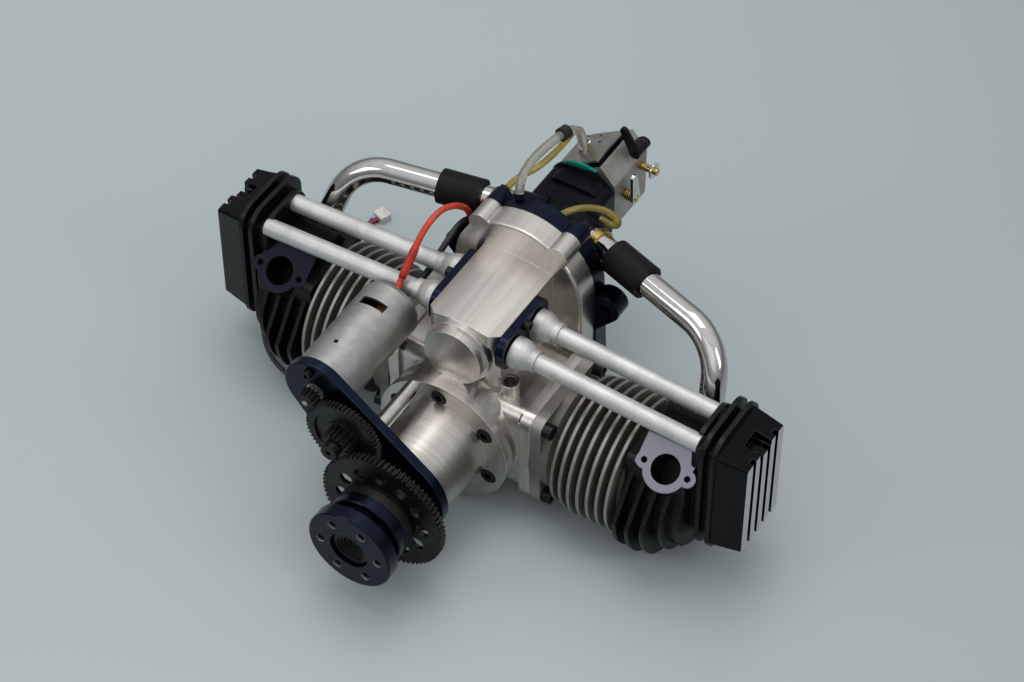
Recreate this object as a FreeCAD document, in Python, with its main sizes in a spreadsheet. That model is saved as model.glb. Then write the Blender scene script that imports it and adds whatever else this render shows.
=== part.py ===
import FreeCAD, Part
import math
import os
import re
import Sketcher

# Flat twin model aircraft engine. Y runs along the crankshaft, with the propeller face at Y = 0 and the
# carburettor at the far end. X runs along the cylinders and Z is up. The origin is the centre of the
# propeller bolt circle on the hub's front face.

Vector = FreeCAD.Vector
doc = FreeCAD.newDocument("FlatTwinEngine")
sheet = doc.addObject("Spreadsheet::Sheet", "Sizes")
derived = doc.addObject("Spreadsheet::Sheet", "Places")

sizes = {
    # clearances
    "pressGap": 0.02,
    "runningGap": 0.05,
    # propeller hub
    "hubRadius": 25,
    "hubFrontLength": 8.5,
    "hubWaistRadius": 18,
    "hubWaistLength": 5.5,
    "hubRearRadius": 22,
    "hubRearLength": 7,
    "hubEdge": 0.7,
    "hubRecess": 11.5,
    "hubRecessDepth": 6.5,
    "propCircle": 35,
    "propHoleRadius": 2.6,
    "propHoleCount": 6,
    "propHoleAngle": 3,
    "retainerRadius": 10.6,
    "retainerLength": 4.5,
    "retainerSocket": 4,
    "retainerSocketDepth": 4.2,
    "retainerBore": 8.6,
    "retainerStep": 1.4,
    "retainerStepDepth": 1.1,
    "retainerSteps": 3,
    "retainerShank": 3,
    "retainerReach": 14,
    # crankshaft
    "noseRadius": 9,
    "journalRadius": 10,
    "webRadius": 26,
    "webThickness": 6,
    "crankPinRadius": 7,
    "crankPinLength": 7.6,
    "crankThrow": 18,
    "crankTail": 13,
    # starter gear train
    "clutchRadius": 22,
    "clutchLength": 5,
    "gearHubRadius": 16,
    "gearFront": 30.5,
    "gearWidth": 4.5,
    "gearTeeth": 72,
    "pinionTeeth": 15,
    "gearModule": 1,
    "gearHoleCircle": 25,
    "gearHoleRadius": 3.75,
    "gearHoleCount": 12,
    "gearWeb": 2.3,
    "gearRecessInner": 19,
    "gearRecessOuter": 33,
    "idlerAngle": 131.1,
    "idlerHub": 5.2,
    "wheelTeeth": 54,
    "motorPinionTeeth": 12,
    "wheelModule": 0.8,
    "wheelFront": 38.2,
    "wheelWidth": 4.3,
    "wheelRecess": 1.2,
    "wheelRecessRadius": 17,
    "motorAngle": 142.3,
    "idlerPinRadius": 3,
    "idlerCollarLength": 4.5,
    "idlerPinHead": 4.7,
    "idlerPinSocket": 1.7,
    "idlerPinSocketDepth": 2,
    "idlerPinionGap": 0.5,
    "idlerPinFront": 26,
    "sideGap": 0.3,
    # starter plate and motor
    "plateFront": 46,
    "plateThickness": 5.5,
    "plateCrankRadius": 27.5,
    "plateMotorRadius": 19,
    "plateCrankBore": 14.5,
    "plateEdge": 0.8,
    "motorRadius": 17.3,
    "motorWall": 1.5,
    "motorLength": 67,
    "motorRound": 3.5,
    "motorBossRadius": 5.2,
    "motorShaftRadius": 1.58,
    "motorScrewCircle": 12.5,
    "motorScrewAngle": 105,
    "motorScrewHead": 2.75,
    "motorScrewShank": 1.5,
    "motorVentFront": 98,
    "motorVentWidth": 5.5,
    "motorVentLength": 15,
    "motorKeySide": 2.3,
    "motorKeyY": 67,
    "motorPinionLength": 6.6,
    "rotorRadius": 14,
    "rotorFront": 60,
    "rotorLength": 34,
    "commutatorRadius": 8.5,
    "commutatorFront": 99,
    "commutatorLength": 9,
    "armatureFront": 36.5,
    # front housing
    "snoutRadius": 25,
    "snoutEndRadius": 26.5,
    "snoutEdge": 1.5,
    "snoutStraight": 6.5,
    "snoutLip": 13,
    "lipThickness": 4.5,
    "bearingRadius": 19,
    "bearingWidth": 12,
    "flangeFront": 89,
    "flangeThickness": 6,
    "flangeRadius": 39.3,
    "flangeScrewCircle": 31,
    "flangeScrewAngle": 34,
    "flangeScrewCount": 6,
    "counterboreRadius": 4.7,
    "counterboreDepth": 4.5,
    "spigotRadius": 24,
    "spigotLength": 8,
    "capHeadRadius": 4.25,
    "capHeadLength": 5,
    "capShankRadius": 2.5,
    "capShankLength": 14,
    "capSocket": 2.3,
    "capSocketDepth": 2.6,
    "rodRadius": 4.4,
    "rodX": 17.2,
    "rodZ": 31.3,
    # crankcase
    "coreRadius": 36.5,
    "coreRimRadius": 38.5,
    "coreRimLength": 10,
    "chamberRadius": 28,
    "chamberFront": 111,
    "wallFront": 163,
    "bankRight": 129.1,
    "bankStagger": 10.9,
    "padY": 61.2,
    "padZ": 63,
    "padRound": 8,
    "padThickness": 6.5,
    "neckInset": 2.2,
    "padFace": 47.5,
    "camBoxHalf": 21.5,
    "camBoxFront": 107.5,
    "camBoxAbove": 16,
    "crownRise": 3.4,
    "camBoxChamfer": 5,
    "camBossRadius": 17.2,
    "camBossFront": 99,
    "camBossStep": 1.8,
    "camBossStepFront": 104,
    "camBoreFront": 101.2,
    "camTunnelRadius": 12.5,
    "camFrontRadius": 6.5,
    "camRearRadius": 11.5,
    "camJournalLength": 7,
    "camShaftRadius": 6,
    "lobeRadius": 8.2,
    "lobeLift": 2.6,
    "lobeLength": 6,
    "ventX": 26.5,
    "ventY": 113.5,
    "ventRadius": 5,
    "ventBore": 3.4,
    "ventTop": 38,
    "ventDepth": 14,
    # timing drum and back plate
    "drumRadius": 39.2,
    "drumLowRadius": 40,
    "drumWall": 3,
    "drumCavity": 37.6,
    "drumCavityLow": 20.5,
    "drumLength": 14,
    "drumEdge": 1.4,
    "earX": 23.5,
    "earAbove": 30.5,
    "earRadius": 6.5,
    "timingModule": 1.2,
    "camTeeth": 60,
    "crankTeeth": 30,
    "timingWidth": 7,
    "timingGap": 1.5,
    "backThickness": 10.5,
    "backLowRadius": 41.5,
    "lugX": 45.5,
    "lugRise": 45.5,
    "lugDrop": 33.5,
    "lugRadius": 8.6,
    "lugHoleRadius": 3.3,
    "lugArmRadius": 12,
    "backScrewRadius": 2,
    "backScrewHead": 3.2,
    "backScrewTopX": 24.9,
    "backScrewTopAbove": 32.3,
    "backScrewX": 32.5,
    "backScrewZ": 8,
    "backScrewLowX": 20,
    "backScrewLowZ": 26,
    "backScrewDepth": 5,
    # cylinders
    "finRadius": 38.5,
    "finShrink": 1.2,
    "finThickness": 1.7,
    "finPitch": 5.7,
    "finCount": 7,
    "finStart": 63.3,
    "baseThickness": 6.5,
    "collarRadius": 31.5,
    "collarLength": 4,
    "collarTaper": 3,
    "barrelRadius": 28.5,
    "barrelTop": 101.3,
    "bore": 46,
    "sleeveLength": 9.5,
    "sleeveRadius": 25,
    "sleeveSeat": 32.5,
    "baseScrewY": 25.8,
    "baseScrewZ": 26,
    "pistonTop": 98.8,
    "pistonLength": 30,
    "pistonWall": 3,
    "pistonCrown": 5,
    "ringDepth": 0.8,
    "ringWidth": 1.5,
    "ringPitch": 3.6,
    # heads
    "headLength": 35,
    "headFinRadius": 42.4,
    "headFinThird": 40.5,
    "headFinLast": 34.5,
    "headFinThickness": 2.4,
    "headFinPitch": 7.7,
    "headFinStart": 104.3,
    "deckHeight": 33,
    "deckHalf": 17,
    "shoulderHeight": -1,
    "roofHeight": 42.2,
    "roofBack": 12,
    "roofStart": 106.6,
    "roofSink": 3,
    "headCore": 29,
    "headBlockHalf": 24.5,
    "blockRound": 4,
    "headBlockLow": 20,
    "chamberDome": 21,
    "chamberDomeDepth": 4,
    "portX": 123.3,
    "portY": 21.6,
    "portZ": 33.6,
    "portTilt": 36.87,
    "portBossRadius": 12.4,
    "portBore": 8,
    "portDepth": 22,
    "portEarReach": 12.6,
    "portEarRadius": 4.6,
    "portEarThickness": 4,
    "portScrewRadius": 1.7,
    "plateStart": 134.5,
    "plateSize": 2.6,
    "platePitch": 6.4,
    "plateLow": 20,
    "plateHigh": 62,
    "plateFrontY": 20.5,
    "plateRearY": 26,
    "plateRound": 12,
    "plateFirstDrop": 4,
    "plateFirstInset": 5,
    "boxInset": 3,
    "plugX": 113,
    "plugTilt": 135,
    "plugSeat": 33,
    "plugThreadRadius": 4,
    "plugThreadLength": 10,
    "plugHex": 6.4,
    "plugHexLength": 5,
    "plugNoseRadius": 3,
    "plugNoseLength": 9,
    "plugWell": 9.5,
    # rocker covers
    "coverStart": 149.9,
    "coverLength": 16.8,
    "coverFrontY": 19,
    "coverRearY": 23,
    "coverLow": 13,
    "coverHigh": 56,
    "coverTaperFront": 3,
    "coverTaperRear": 1,
    "coverTaperLow": 1,
    "coverTaperHigh": 3.5,
    "coverRound": 1.6,
    "coverWall": 3,
    "grooveFirst": -9.1,
    "groovePitch": 7.7,
    "grooveWidth": 3.2,
    "grooveTopStop": 3,
    "grooveDepth": 5,
    "grooveCount": 4,
    "notchLength": 9.5,
    "notchFront": -3,
    "notchWidth": 12,
    "notchDepth": 7,
    # push-rod tubes
    "tubeRadius": 5,
    "tubeSpread": 11.35,
    "tubeHeight": 56.8,
    "tubeStart": 36.4,
    "tubeFall": 3.02,
    "collarTubeGap": 0.03,
    "bellRadius": 8.6,
    "bellNeck": 6.1,
    "bellStraight": 4.5,
    "bellLength": 14.2,
    "bellSeat": 7,
    "tappetThickness": 4.5,
    "tappetY": 45.6,
    "tappetZ": 21,
    "tappetCentre": 59,
    "tappetScrewZ": 66.3,
    "tappetRound": 8,
    "tappetScrewHead": 2.9,
    "tappetScrewLength": 3,
    "tappetScrewShank": 2,
    "tappetScrewDepth": 9,
    # intake
    "inletX": 124.5,
    "inletY": 21.8,
    "inletZ": 30.5,
    "inletBossRadius": 9.5,
    "inletBossLength": 16,
    "inletBossLip": 4,
    "kneeX": 116.3,
    "kneeRearward": 20.4,
    "kneeZ": 66.7,
    "kneeRadius": 29.2,
    "pipeRadius": 7,
    "pipeWall": 1,
    "pipeSeatX": 38.5,
    "pipeSeatY": 194.9,
    "pipeSeatZ": 68.6,
    "pipeEndX": 53,
    "hoseStartX": 41,
    "hoseRadius": 9.8,
    "hoseEndX": 65,
    "stubEndX": 51,
    "stubStartX": 14,
    "ringStartX": 27.4,
    "ringEndX": 31,
    "ringRadius": 8.3,
    "manifoldHalf": 19,
    "manifoldLow": 40,
    "manifoldTop": 76,
    "manifoldLength": 42.5,
    "manifoldRound": 5,
    "manifoldBandLength": 11,
    "manifoldBandRise": 2.2,
    "manifoldBandInset": 4,
    "stubBossX": 23.6,
    "stubBossRadius": 9.5,
    "throatRadius": 12,
    "throatHeight": 62,
    "throatDepth": 36,
    # carburettor
    "gasketRadius": 22,
    "gasketThickness": 1.5,
    "carbLength": 34.5,
    "carbRight": 18.5,
    "carbLeft": 17,
    "carbLow": 44,
    "carbShoulder": 76,
    "carbTilt": 33,
    "lidLength": 27,
    "lidWidth": 28.6,
    "lidThickness": 4.3,
    "lidX": 7,
    "lidZ": 90,
    "nippleLength": 4,
    "throttleY": 243,
    "throttleRadius": 2,
    "throttleEnd": 26,
    "butterflyGap": 0.3,
    "butterflyThickness": 1.2,
    "leverLength": 16.5,
    "leverRadius": 3.8,
    "leverTip": 2.6,
    "leverThickness": 1.6,
    "springRadius": 3,
    "springWire": 0.5,
    "springCoils": 4,
    "springSides": 8,
    "chokeX": 20,
    "chokeZ": 87,
    "chokeFront": 249,
    "chokeLength": 9,
    "chokeBarrel": 3.4,
    "chokePin": 1.6,
    "chokeArmX": 13,
    "chokeArmZ": 100,
    "chokeArmThickness": 2,
    "chokeLugThickness": 2.5,
    "chokeLugInset": 6.5,
    "chokeLugDrop": 8.5,
    "chokeLugRadius": 5.5,
    "chokeArmRoot": 3,
    "chokeArmTip": 2.2,
    "needleY": 259,
    "needleZ": 70,
    "needleRadius": 2.1,
    "needleReach": 11,
    "needleDepth": 6,
    "needleWasher": 4.6,
    "needleWasherX": 26.5,
    "needleWasherThickness": 1,
    # hoses, leads and their ends
    "breatherRadius": 2.5,
    "fuelRadius": 1.8,
    "leadRadius": 1.75,
    "cableRadius": 1.3,
    "clampRadius": 3.9,
    "clampLength": 5,
    "connectorX": 5,
    "connectorY": 16,
    "connectorZ": 5,
    "plugLength": 7,
    "plugWidth": 8,
    "plugHeight": 4.4,
}

# places worked out from the sizes above
places = {
    "hubLength": "hubFrontLength + hubWaistLength + hubRearLength",
    "retainerFront": "hubRecessDepth - retainerLength",
    "plateRear": "plateFront + plateThickness",
    "idlerX": "gearModule * (gearTeeth + pinionTeeth) / 2 * cos(idlerAngle)",
    "idlerZ": "gearModule * (gearTeeth + pinionTeeth) / 2 * sin(idlerAngle)",
    "motorX": "idlerX + wheelModule * (wheelTeeth + motorPinionTeeth) / 2 * cos(motorAngle)",
    "motorZ": "idlerZ + wheelModule * (wheelTeeth + motorPinionTeeth) / 2 * sin(motorAngle)",
    "motorRear": "plateRear + motorLength",
    "gearRear": "gearFront + gearWidth",
    "frontBearing": "plateRear + lipThickness",
    "rearBearing": "wallFront - bearingWidth",
    "flangeRear": "flangeFront + flangeThickness",
    "bankLeft": "bankRight + bankStagger",
    "pinOneStart": "bankRight - crankPinLength / 2",
    "pinTwoStart": "bankLeft - crankPinLength / 2",
    "crankTailStart": "pinTwoStart + crankPinLength",
    "crankRear": "wallFront + crankTail",
    "wallRear": "wallFront + drumWall",
    "timingFront": "wallRear + timingGap",
    "drumRear": "wallFront + drumLength",
    "backRear": "drumRear + backThickness",
    "camHeight": "timingModule * (camTeeth + crankTeeth) / 2",
    "camBoxCorner": "camHeight + camBoxAbove",
    "camBoxCrown": "camBoxCorner + crownRise",
    "earZ": "camHeight + earAbove",
    "backScrewTopZ": "camHeight + backScrewTopAbove",
    "tubeLength": "(plateStart + plateSize - tubeStart - tubeRadius * sin(tubeFall)) / cos(tubeFall)",
    "crownRadius": "(camBoxHalf * camBoxHalf + crownRise * crownRise) / (2 * crownRise)",
    "manifoldRear": "backRear + manifoldLength",
    "carbFront": "manifoldRear + gasketThickness",
    "carbRear": "carbFront + carbLength",
    "lidLeftX": "lidX - lidWidth * cos(carbTilt)",
    "lidLeftZ": "lidZ - lidWidth * sin(carbTilt)",
    "lidDropX": "lidThickness * sin(carbTilt)",
    "lidDropZ": "lidThickness * cos(carbTilt)",
    "pistonStart": "pistonTop - pistonLength",
    "headEnd": "barrelTop + headLength",
    "roofFront": "portY - (roofHeight - portZ) * cos(portTilt) / sin(portTilt)",
    "seatFront": "portY - (deckHeight - portZ) * cos(portTilt) / sin(portTilt)",
}


def fill(target, entries, prefix):
    for row, (label, text) in enumerate(entries.items(), 1):
        target.set("A%d" % row, label)
        target.set("B%d" % row, prefix + str(text))
        target.setAlias("B%d" % row, label)


def withSheet(text, ownName):
    def name(word):
        if word[0] in sizes:
            return "Sizes." + word[0]
        if word[0] in places:
            return ownName + word[0]
        return word[0]
    return re.sub(r"[A-Za-z]\w*", name, str(text))


fill(sheet, sizes, "")
doc.recompute()
fill(derived, {label: withSheet(text, "") for label, text in places.items()}, "=")
doc.recompute()


def size(label):
    return float(getattr(sheet if label in sizes else derived, label))


def bind(item, path, text):
    item.setExpression(path, withSheet(text, "Places."))


turns = {
    "X": FreeCAD.Rotation(Vector(0, 1, 0), 90),
    "-X": FreeCAD.Rotation(Vector(0, 1, 0), -90),
    "Y": FreeCAD.Rotation(Vector(1, 0, 0), -90),
    "-Y": FreeCAD.Rotation(Vector(1, 0, 0), 90),
    "Z": FreeCAD.Rotation(),
}


def place(item, at=(0, 0, 0), turn=FreeCAD.Rotation()):
    item.Placement = FreeCAD.Placement(Vector(), turn)
    for axis, text in zip("xyz", at):
        if text != 0:
            bind(item, "Placement.Base." + axis, text)
    return item


def cylinder(radius, length, at=(0, 0, 0), along="Y", turn=None):
    item = doc.addObject("Part::Cylinder", "Cylinder")
    bind(item, "Radius", radius)
    bind(item, "Height", length)
    return place(item, at, turn or turns[along])


def box(sideX, sideY, sideZ, at=(0, 0, 0), turn=FreeCAD.Rotation()):
    item = doc.addObject("Part::Box", "Box")
    bind(item, "Length", sideX)
    bind(item, "Width", sideY)
    bind(item, "Height", sideZ)
    return place(item, at, turn)


def hexagon(radius, length, at=(0, 0, 0), along="Y", turn=None):
    item = doc.addObject("Part::Prism", "Hexagon")
    item.Polygon = 6
    bind(item, "Circumradius", radius)
    bind(item, "Height", length)
    return place(item, at, turn or turns[along])


def fuse(*items):
    item = doc.addObject("Part::MultiFuse", "Fuse")
    item.Shapes = list(items)
    item.Refine = True
    return item


def cut(base, *tools):
    item = doc.addObject("Part::Cut", "Cut")
    item.Base = base
    item.Tool = tools[0] if len(tools) == 1 else fuse(*tools)
    item.Refine = True
    return item


def common(first, second):
    item = doc.addObject("Part::Common", "Common")
    item.Base = first
    item.Tool = second
    return item


def group(*items):
    item = doc.addObject("Part::Compound", "Group")
    item.Links = list(items)
    return item


def rounded(base, radius, axis, where=None):
    # fillets each straight edge that runs close to the given axis
    doc.recompute()
    edges = []
    for number, edge in enumerate(base.Shape.Edges, 1):
        span = edge.Vertexes[-1].Point.sub(edge.Vertexes[0].Point)
        if span.Length < 0.1 or abs(getattr(span, axis)) < 0.9 * span.Length:
            continue
        if where is None or where(edge.CenterOfMass):
            edges.append((number, size(radius), size(radius)))
    item = doc.addObject("Part::Fillet", "Rounded")
    item.Base = base
    item.Edges = edges
    return item


def mirrored(source):
    # the left-hand copy of a right-hand piece
    item = doc.addObject("Part::Mirroring", "Mirrored")
    item.Source = source
    item.Base = Vector()
    item.Normal = Vector(1, 0, 0)
    return item


def copied(source, at):
    item = doc.addObject("Part::Compound", "Copy")
    item.Links = [source]
    return place(item, at)


def origin(body, role):
    return [part for part in body.Origin.OriginFeatures if part.Role == role][0]


def newBody():
    return doc.addObject("PartDesign::Body", "Body")


def outline(body, plane, points, offset=None):
    # a closed polygon whose corners are each held by two formulas
    sketch = body.newObject("Sketcher::SketchObject", "Outline")
    sketch.AttachmentSupport = [(origin(body, plane), "")]
    sketch.MapMode = "FlatFace"
    if offset:
        bind(sketch, "AttachmentOffset.Base.z", offset)
    count = len(points)
    guess = []
    for index in range(count):
        turn = 2 * math.pi * index / count
        guess.append(Vector(60 + 25 * math.cos(turn), 60 + 25 * math.sin(turn), 0))
    for index in range(count):
        sketch.addGeometry(Part.LineSegment(guess[index], guess[(index + 1) % count]), False)
    for index in range(count):
        sketch.addConstraint(Sketcher.Constraint("Coincident", index, 2, (index + 1) % count, 1))
    for index, (across, along) in enumerate(points):
        for kind, text, start in (("DistanceX", across, guess[index].x), ("DistanceY", along, guess[index].y)):
            number = sketch.addConstraint(Sketcher.Constraint(kind, -1, 1, index, 1, start))
            bind(sketch, "Constraints[%d]" % number, text)
    return sketch


def circleSketch(body, plane, across, along, radius, offset=None):
    sketch = body.newObject("Sketcher::SketchObject", "Circle")
    sketch.AttachmentSupport = [(origin(body, plane), "")]
    sketch.MapMode = "FlatFace"
    if offset:
        bind(sketch, "AttachmentOffset.Base.z", offset)
    sketch.addGeometry(Part.Circle(Vector(20, 15, 0), Vector(0, 0, 1), 3), False)
    held = (
        ("Radius", (0, 3.0), radius),
        ("DistanceX", (-1, 1, 0, 3, 20.0), across),
        ("DistanceY", (-1, 1, 0, 3, 15.0), along),
    )
    for kind, target, text in held:
        number = sketch.addConstraint(Sketcher.Constraint(kind, *target))
        bind(sketch, "Constraints[%d]" % number, text)
    return sketch


def revolved(points, axis="V_Axis", body=None):
    # turns an outline in the XY plane about Y, or about X where the axis is H_Axis
    body = body or newBody()
    sketch = outline(body, "XY_Plane", points)
    feature = body.newObject("PartDesign::Revolution", "Turned")
    feature.Profile = sketch
    feature.ReferenceAxis = (sketch, [axis])
    feature.Angle = 360
    body.Tip = feature
    return body


def padded(plane, points, length, offset=None):
    body = newBody()
    sketch = outline(body, plane, points, offset)
    feature = body.newObject("PartDesign::Pad", "Pad")
    feature.Profile = sketch
    bind(feature, "Length", length)
    body.Tip = feature
    return body


def drilled(body, sketch, length=None):
    doc.recompute()
    before = body.Shape.Volume
    feature = body.newObject("PartDesign::Pocket", "Pocket")
    feature.Profile = sketch
    if length:
        bind(feature, "Length", length)
    else:
        feature.Type = "ThroughAll"
    body.Tip = feature
    doc.recompute()
    if before - body.Shape.Volume < 1e-3:
        feature.Reversed = True
        doc.recompute()
    return feature


def ringOf(body, feature, count):
    pattern = body.newObject("PartDesign::PolarPattern", "Ring")
    pattern.Originals = [feature]
    pattern.Axis = (origin(body, "Y_Axis"), [""])
    pattern.Angle = 360
    bind(pattern, "Occurrences", count)
    body.Tip = pattern
    return pattern


# routes of the free hoses and leads, as points chosen by eye
routes = {
    "breather_hose": [
        (-12.5, 185, 94.4),
        (-14.2, 188.5, 100.8),
        (-15.4, 200, 103),
        (-14.6, 212, 103.4),
        (-12.8, 224, 103.2),
        (-11.2, 234.5, 101.8),
        (-8, 241, 96),
        (-7.2, 241, 85),
    ],
    "fuel_tube": [
        (-27.2, 190, 80.4),
        (-25.4, 198, 86.4),
        (-18, 209, 88.8),
        (-14.8, 221, 90.4),
        (-13.2, 233, 92.8),
        (-13.4, 243.5, 93.4),
        (-12.8, 250, 87.5),
        (-12.6, 250.5, 81),
    ],
    "fuel_loop": [
        (9.8, 189.5, 86.1),
        (12.5, 196, 86.4),
        (19.5, 203.5, 85.5),
        (27.5, 208.5, 82.8),
        (34, 210, 78),
        (33, 210.8, 71.8),
        (27.5, 212.4, 69),
        (21, 213, 69.4),
    ],
    "motor_lead_red": [
        (-47.9, 121.5, 60.4),
        (-47, 132, 71.5),
        (-45.6, 142.5, 85),
        (-43.6, 156, 90.5),
        (-40.8, 168, 85.5),
        (-40.2, 177.5, 75),
        (-42.3, 183.5, 62),
        (-40, 193, 53.5),
        (-38, 201, 50.8),
    ],
    "motor_lead_black": [
        (-52.4, 121.5, 41.7),
        (-51.5, 132, 41.2),
        (-49.4, 146, 43),
        (-48, 158, 49.5),
        (-46.2, 169, 57.5),
        (-46.2, 180, 59.6),
        (-44.6, 190, 55.5),
        (-42.4, 201, 50.4),
    ],
    "sensor_cable": [
        (-34.6, 100, -20),
        (-43, 100.4, -27),
        (-56, 101.8, -36.6),
        (-73, 104.5, -40.8),
        (-92, 108.5, -41.05),
        (-110, 110, -41.05),
        (-128, 113.8, -41.05),
        (-144, 125.2, -41.05),
        (-154.2, 139.6, -41.05),
        (-159.2, 159.6, -41.05),
        (-159.5, 182.6, -41.05),
        (-156, 206.3, -41.05),
        (-148.7, 225.6, -41.05),
        (-143.2, 239, -41.05),
    ],
}


nodes = {}


def node(label, item):
    item.Label = label
    nodes[label] = item
    return item


def shaped(shape, label="Shape"):
    item = doc.addObject("Part::Feature", label)
    item.Shape = shape
    return item


def spurGear(teeth, module, width, front, phase):
    # external spur gear about the Y axis, with one tooth centred at the phase angle
    pressure = math.radians(25)
    pitch = teeth * module / 2
    base = pitch * math.cos(pressure)
    tip = pitch + 0.82 * module
    root = pitch - 1.08 * module
    backlash = 0.1 * module + 0.06
    half = (math.pi * module / 2 - backlash) / 2 / pitch
    involute = math.tan(pressure) - pressure
    low = max(base, root)
    levels = [root, low + (tip - low) * 0.45, tip]
    spread = []
    for radius in levels:
        angle = math.acos(min(1, base / max(radius, base)))
        spread.append(half + involute - (math.tan(angle) - angle))
    corners = []
    for tooth in range(int(teeth)):
        centre = math.radians(phase) + 2 * math.pi * tooth / teeth
        flank = [(radius, centre - wide) for radius, wide in zip(levels, spread)]
        flank += [(radius, centre + wide) for radius, wide in zip(reversed(levels), reversed(spread))]
        corners += [Vector(radius * math.cos(turn), front, radius * math.sin(turn)) for radius, turn in flank]
    face = Part.Face(Part.makePolygon(corners + [corners[0]]))
    return shaped(face.extrude(Vector(0, width, 0)), "Gear")


def partnerPhase(phase, teeth, partnerTeeth, direction):
    # the partner's phase that puts a gap opposite a tooth on the line of centres
    tooth = (direction - phase) * teeth / 360
    return direction + 180 - (0.5 - tooth) * 360 / partnerTeeth


def link(first, second, front, length):
    # two circles in the XZ plane and their outer tangents, drawn out along Y
    (firstX, firstZ, firstRadius), (secondX, secondZ, secondRadius) = first, second
    span = math.hypot(secondX - firstX, secondZ - firstZ)
    heading = math.atan2(secondZ - firstZ, secondX - firstX)
    lean = math.acos((firstRadius - secondRadius) / span)

    def at(circle, turn):
        return Vector(circle[0] + circle[2] * math.cos(turn), front, circle[1] + circle[2] * math.sin(turn))

    edges = [
        Part.LineSegment(at(first, heading + lean), at(second, heading + lean)).toShape(),
        Part.Arc(at(second, heading + lean), at(second, heading), at(second, heading - lean)).toShape(),
        Part.LineSegment(at(second, heading - lean), at(first, heading - lean)).toShape(),
        Part.Arc(at(first, heading - lean), at(first, heading + math.pi), at(first, heading + lean)).toShape(),
    ]
    return Part.Face(Part.Wire(edges)).extrude(Vector(0, length, 0))


def edged(solid, radius, front):
    # rounds the edges that lie in the plane Y = front
    edges = [edge for edge in solid.Edges
             if abs(edge.BoundBox.YMin - front) < 1e-4 and abs(edge.BoundBox.YMax - front) < 1e-4]
    return solid.makeFillet(radius, edges)


def route(points, radii=None):
    # straight runs joined by tangent arcs
    points = [Vector(*point) for point in points]
    edges = []
    bends = []
    start = points[0]
    for index in range(1, len(points) - 1):
        before = points[index].sub(points[index - 1])
        after = points[index + 1].sub(points[index])
        half = before.getAngle(after) / 2
        if radii:
            bend = radii[index - 1]
        else:
            bend = 0.45 * min(before.Length, after.Length) / math.tan(half)
        reach = bend * math.tan(half)
        inward = Vector(before).normalize()
        outward = Vector(after).normalize()
        entry = points[index].sub(inward * reach)
        leave = points[index].add(outward * reach)
        middle = Vector(outward).sub(inward).normalize()
        crest = points[index].add(middle * (bend / math.cos(half) - bend))
        edges.append(Part.LineSegment(start, entry).toShape())
        edges.append(Part.Arc(entry, crest, leave).toShape())
        bends.append(bend)
        start = leave
    edges.append(Part.LineSegment(start, points[-1]).toShape())
    return Part.Wire(edges), bends


def swept(wire, radius):
    first = wire.Edges[0]
    heading = first.Vertexes[-1].Point.sub(first.Vertexes[0].Point)
    profile = Part.Wire([Part.makeCircle(radius, first.Vertexes[0].Point, heading)])
    return wire.makePipeShell([profile], True, False)


cordRadius = {
    "breather_hose": "breatherRadius",
    "fuel_tube": "fuelRadius",
    "fuel_loop": "fuelRadius",
    "motor_lead_red": "leadRadius",
    "motor_lead_black": "leadRadius",
    "sensor_cable": "cableRadius",
}


def cord(label):
    points = routes[label]
    radius = size(cordRadius[label])
    wire, bends = route(points)
    solid = swept(wire, radius)
    expected = math.pi * radius ** 2 * wire.Length
    runs = [Vector(*last).distanceToPoint(Vector(*first)) for first, last in zip(points, points[1:])]
    print(label, "radii", [round(bend, 1) for bend in bends], "runs", [round(run, 1) for run in runs],
          "volume ratio", round(solid.Volume / expected, 4))
    return node(label, shaped(solid, "Cord"))


def nipple(label, end, length=None):
    # the short spigot that a cord's end meets face to face, running back along the cord's own line
    first, second = (routes[label][0], routes[label][1]) if end == 0 else (routes[label][-1], routes[label][-2])
    heading = Vector(*first).sub(Vector(*second)).normalize()
    return shaped(Part.makeCylinder(size(cordRadius[label]), length or size("nippleLength"), Vector(*first), heading),
                  "Nipple")


def along(start, finish, share):
    return start.add(finish.sub(start) * share)


def rodBetween(start, finish, radius, inner=0):
    heading = finish.sub(start)
    rod = Part.makeCylinder(radius, heading.Length, start, heading)
    if inner:
        rod = rod.cut(Part.makeCylinder(inner, heading.Length, start, heading))
    return rod


# propeller hub and crankshaft

hub = revolved([
    ("hubRecess", 0),
    ("hubRadius - hubEdge", 0),
    ("hubRadius", "hubEdge"),
    ("hubRadius", "hubFrontLength - hubEdge"),
    ("hubRadius - hubEdge", "hubFrontLength"),
    ("hubWaistRadius", "hubFrontLength"),
    ("hubWaistRadius", "hubFrontLength + hubWaistLength"),
    ("hubRearRadius - hubEdge", "hubFrontLength + hubWaistLength"),
    ("hubRearRadius", "hubFrontLength + hubWaistLength + hubEdge"),
    ("hubRearRadius", "hubLength"),
    ("noseRadius + pressGap", "hubLength"),
    ("noseRadius + pressGap", "hubRecessDepth"),
    ("hubRecess", "hubRecessDepth"),
])
propHole = circleSketch(hub, "XZ_Plane", "propCircle / 2 * cos(propHoleAngle)",
                        "propCircle / 2 * sin(propHoleAngle)", "propHoleRadius")
ringOf(hub, drilled(hub, propHole), "propHoleCount")
node("prop_hub", hub)

node("prop_retainer", cut(
    fuse(
        cylinder("retainerRadius", "retainerLength", (0, "retainerFront", 0)),
        cylinder("retainerShank", "retainerReach", (0, "hubRecessDepth - 0.5", 0)),
    ),
    hexagon("retainerSocket", "retainerSocketDepth", (0, "retainerFront", 0)),
    *[cylinder("retainerBore - %d * retainerStep" % index, "%d * retainerStepDepth" % (index + 1),
               (0, "retainerFront", 0)) for index in range(int(size("retainerSteps")))],
))

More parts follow.
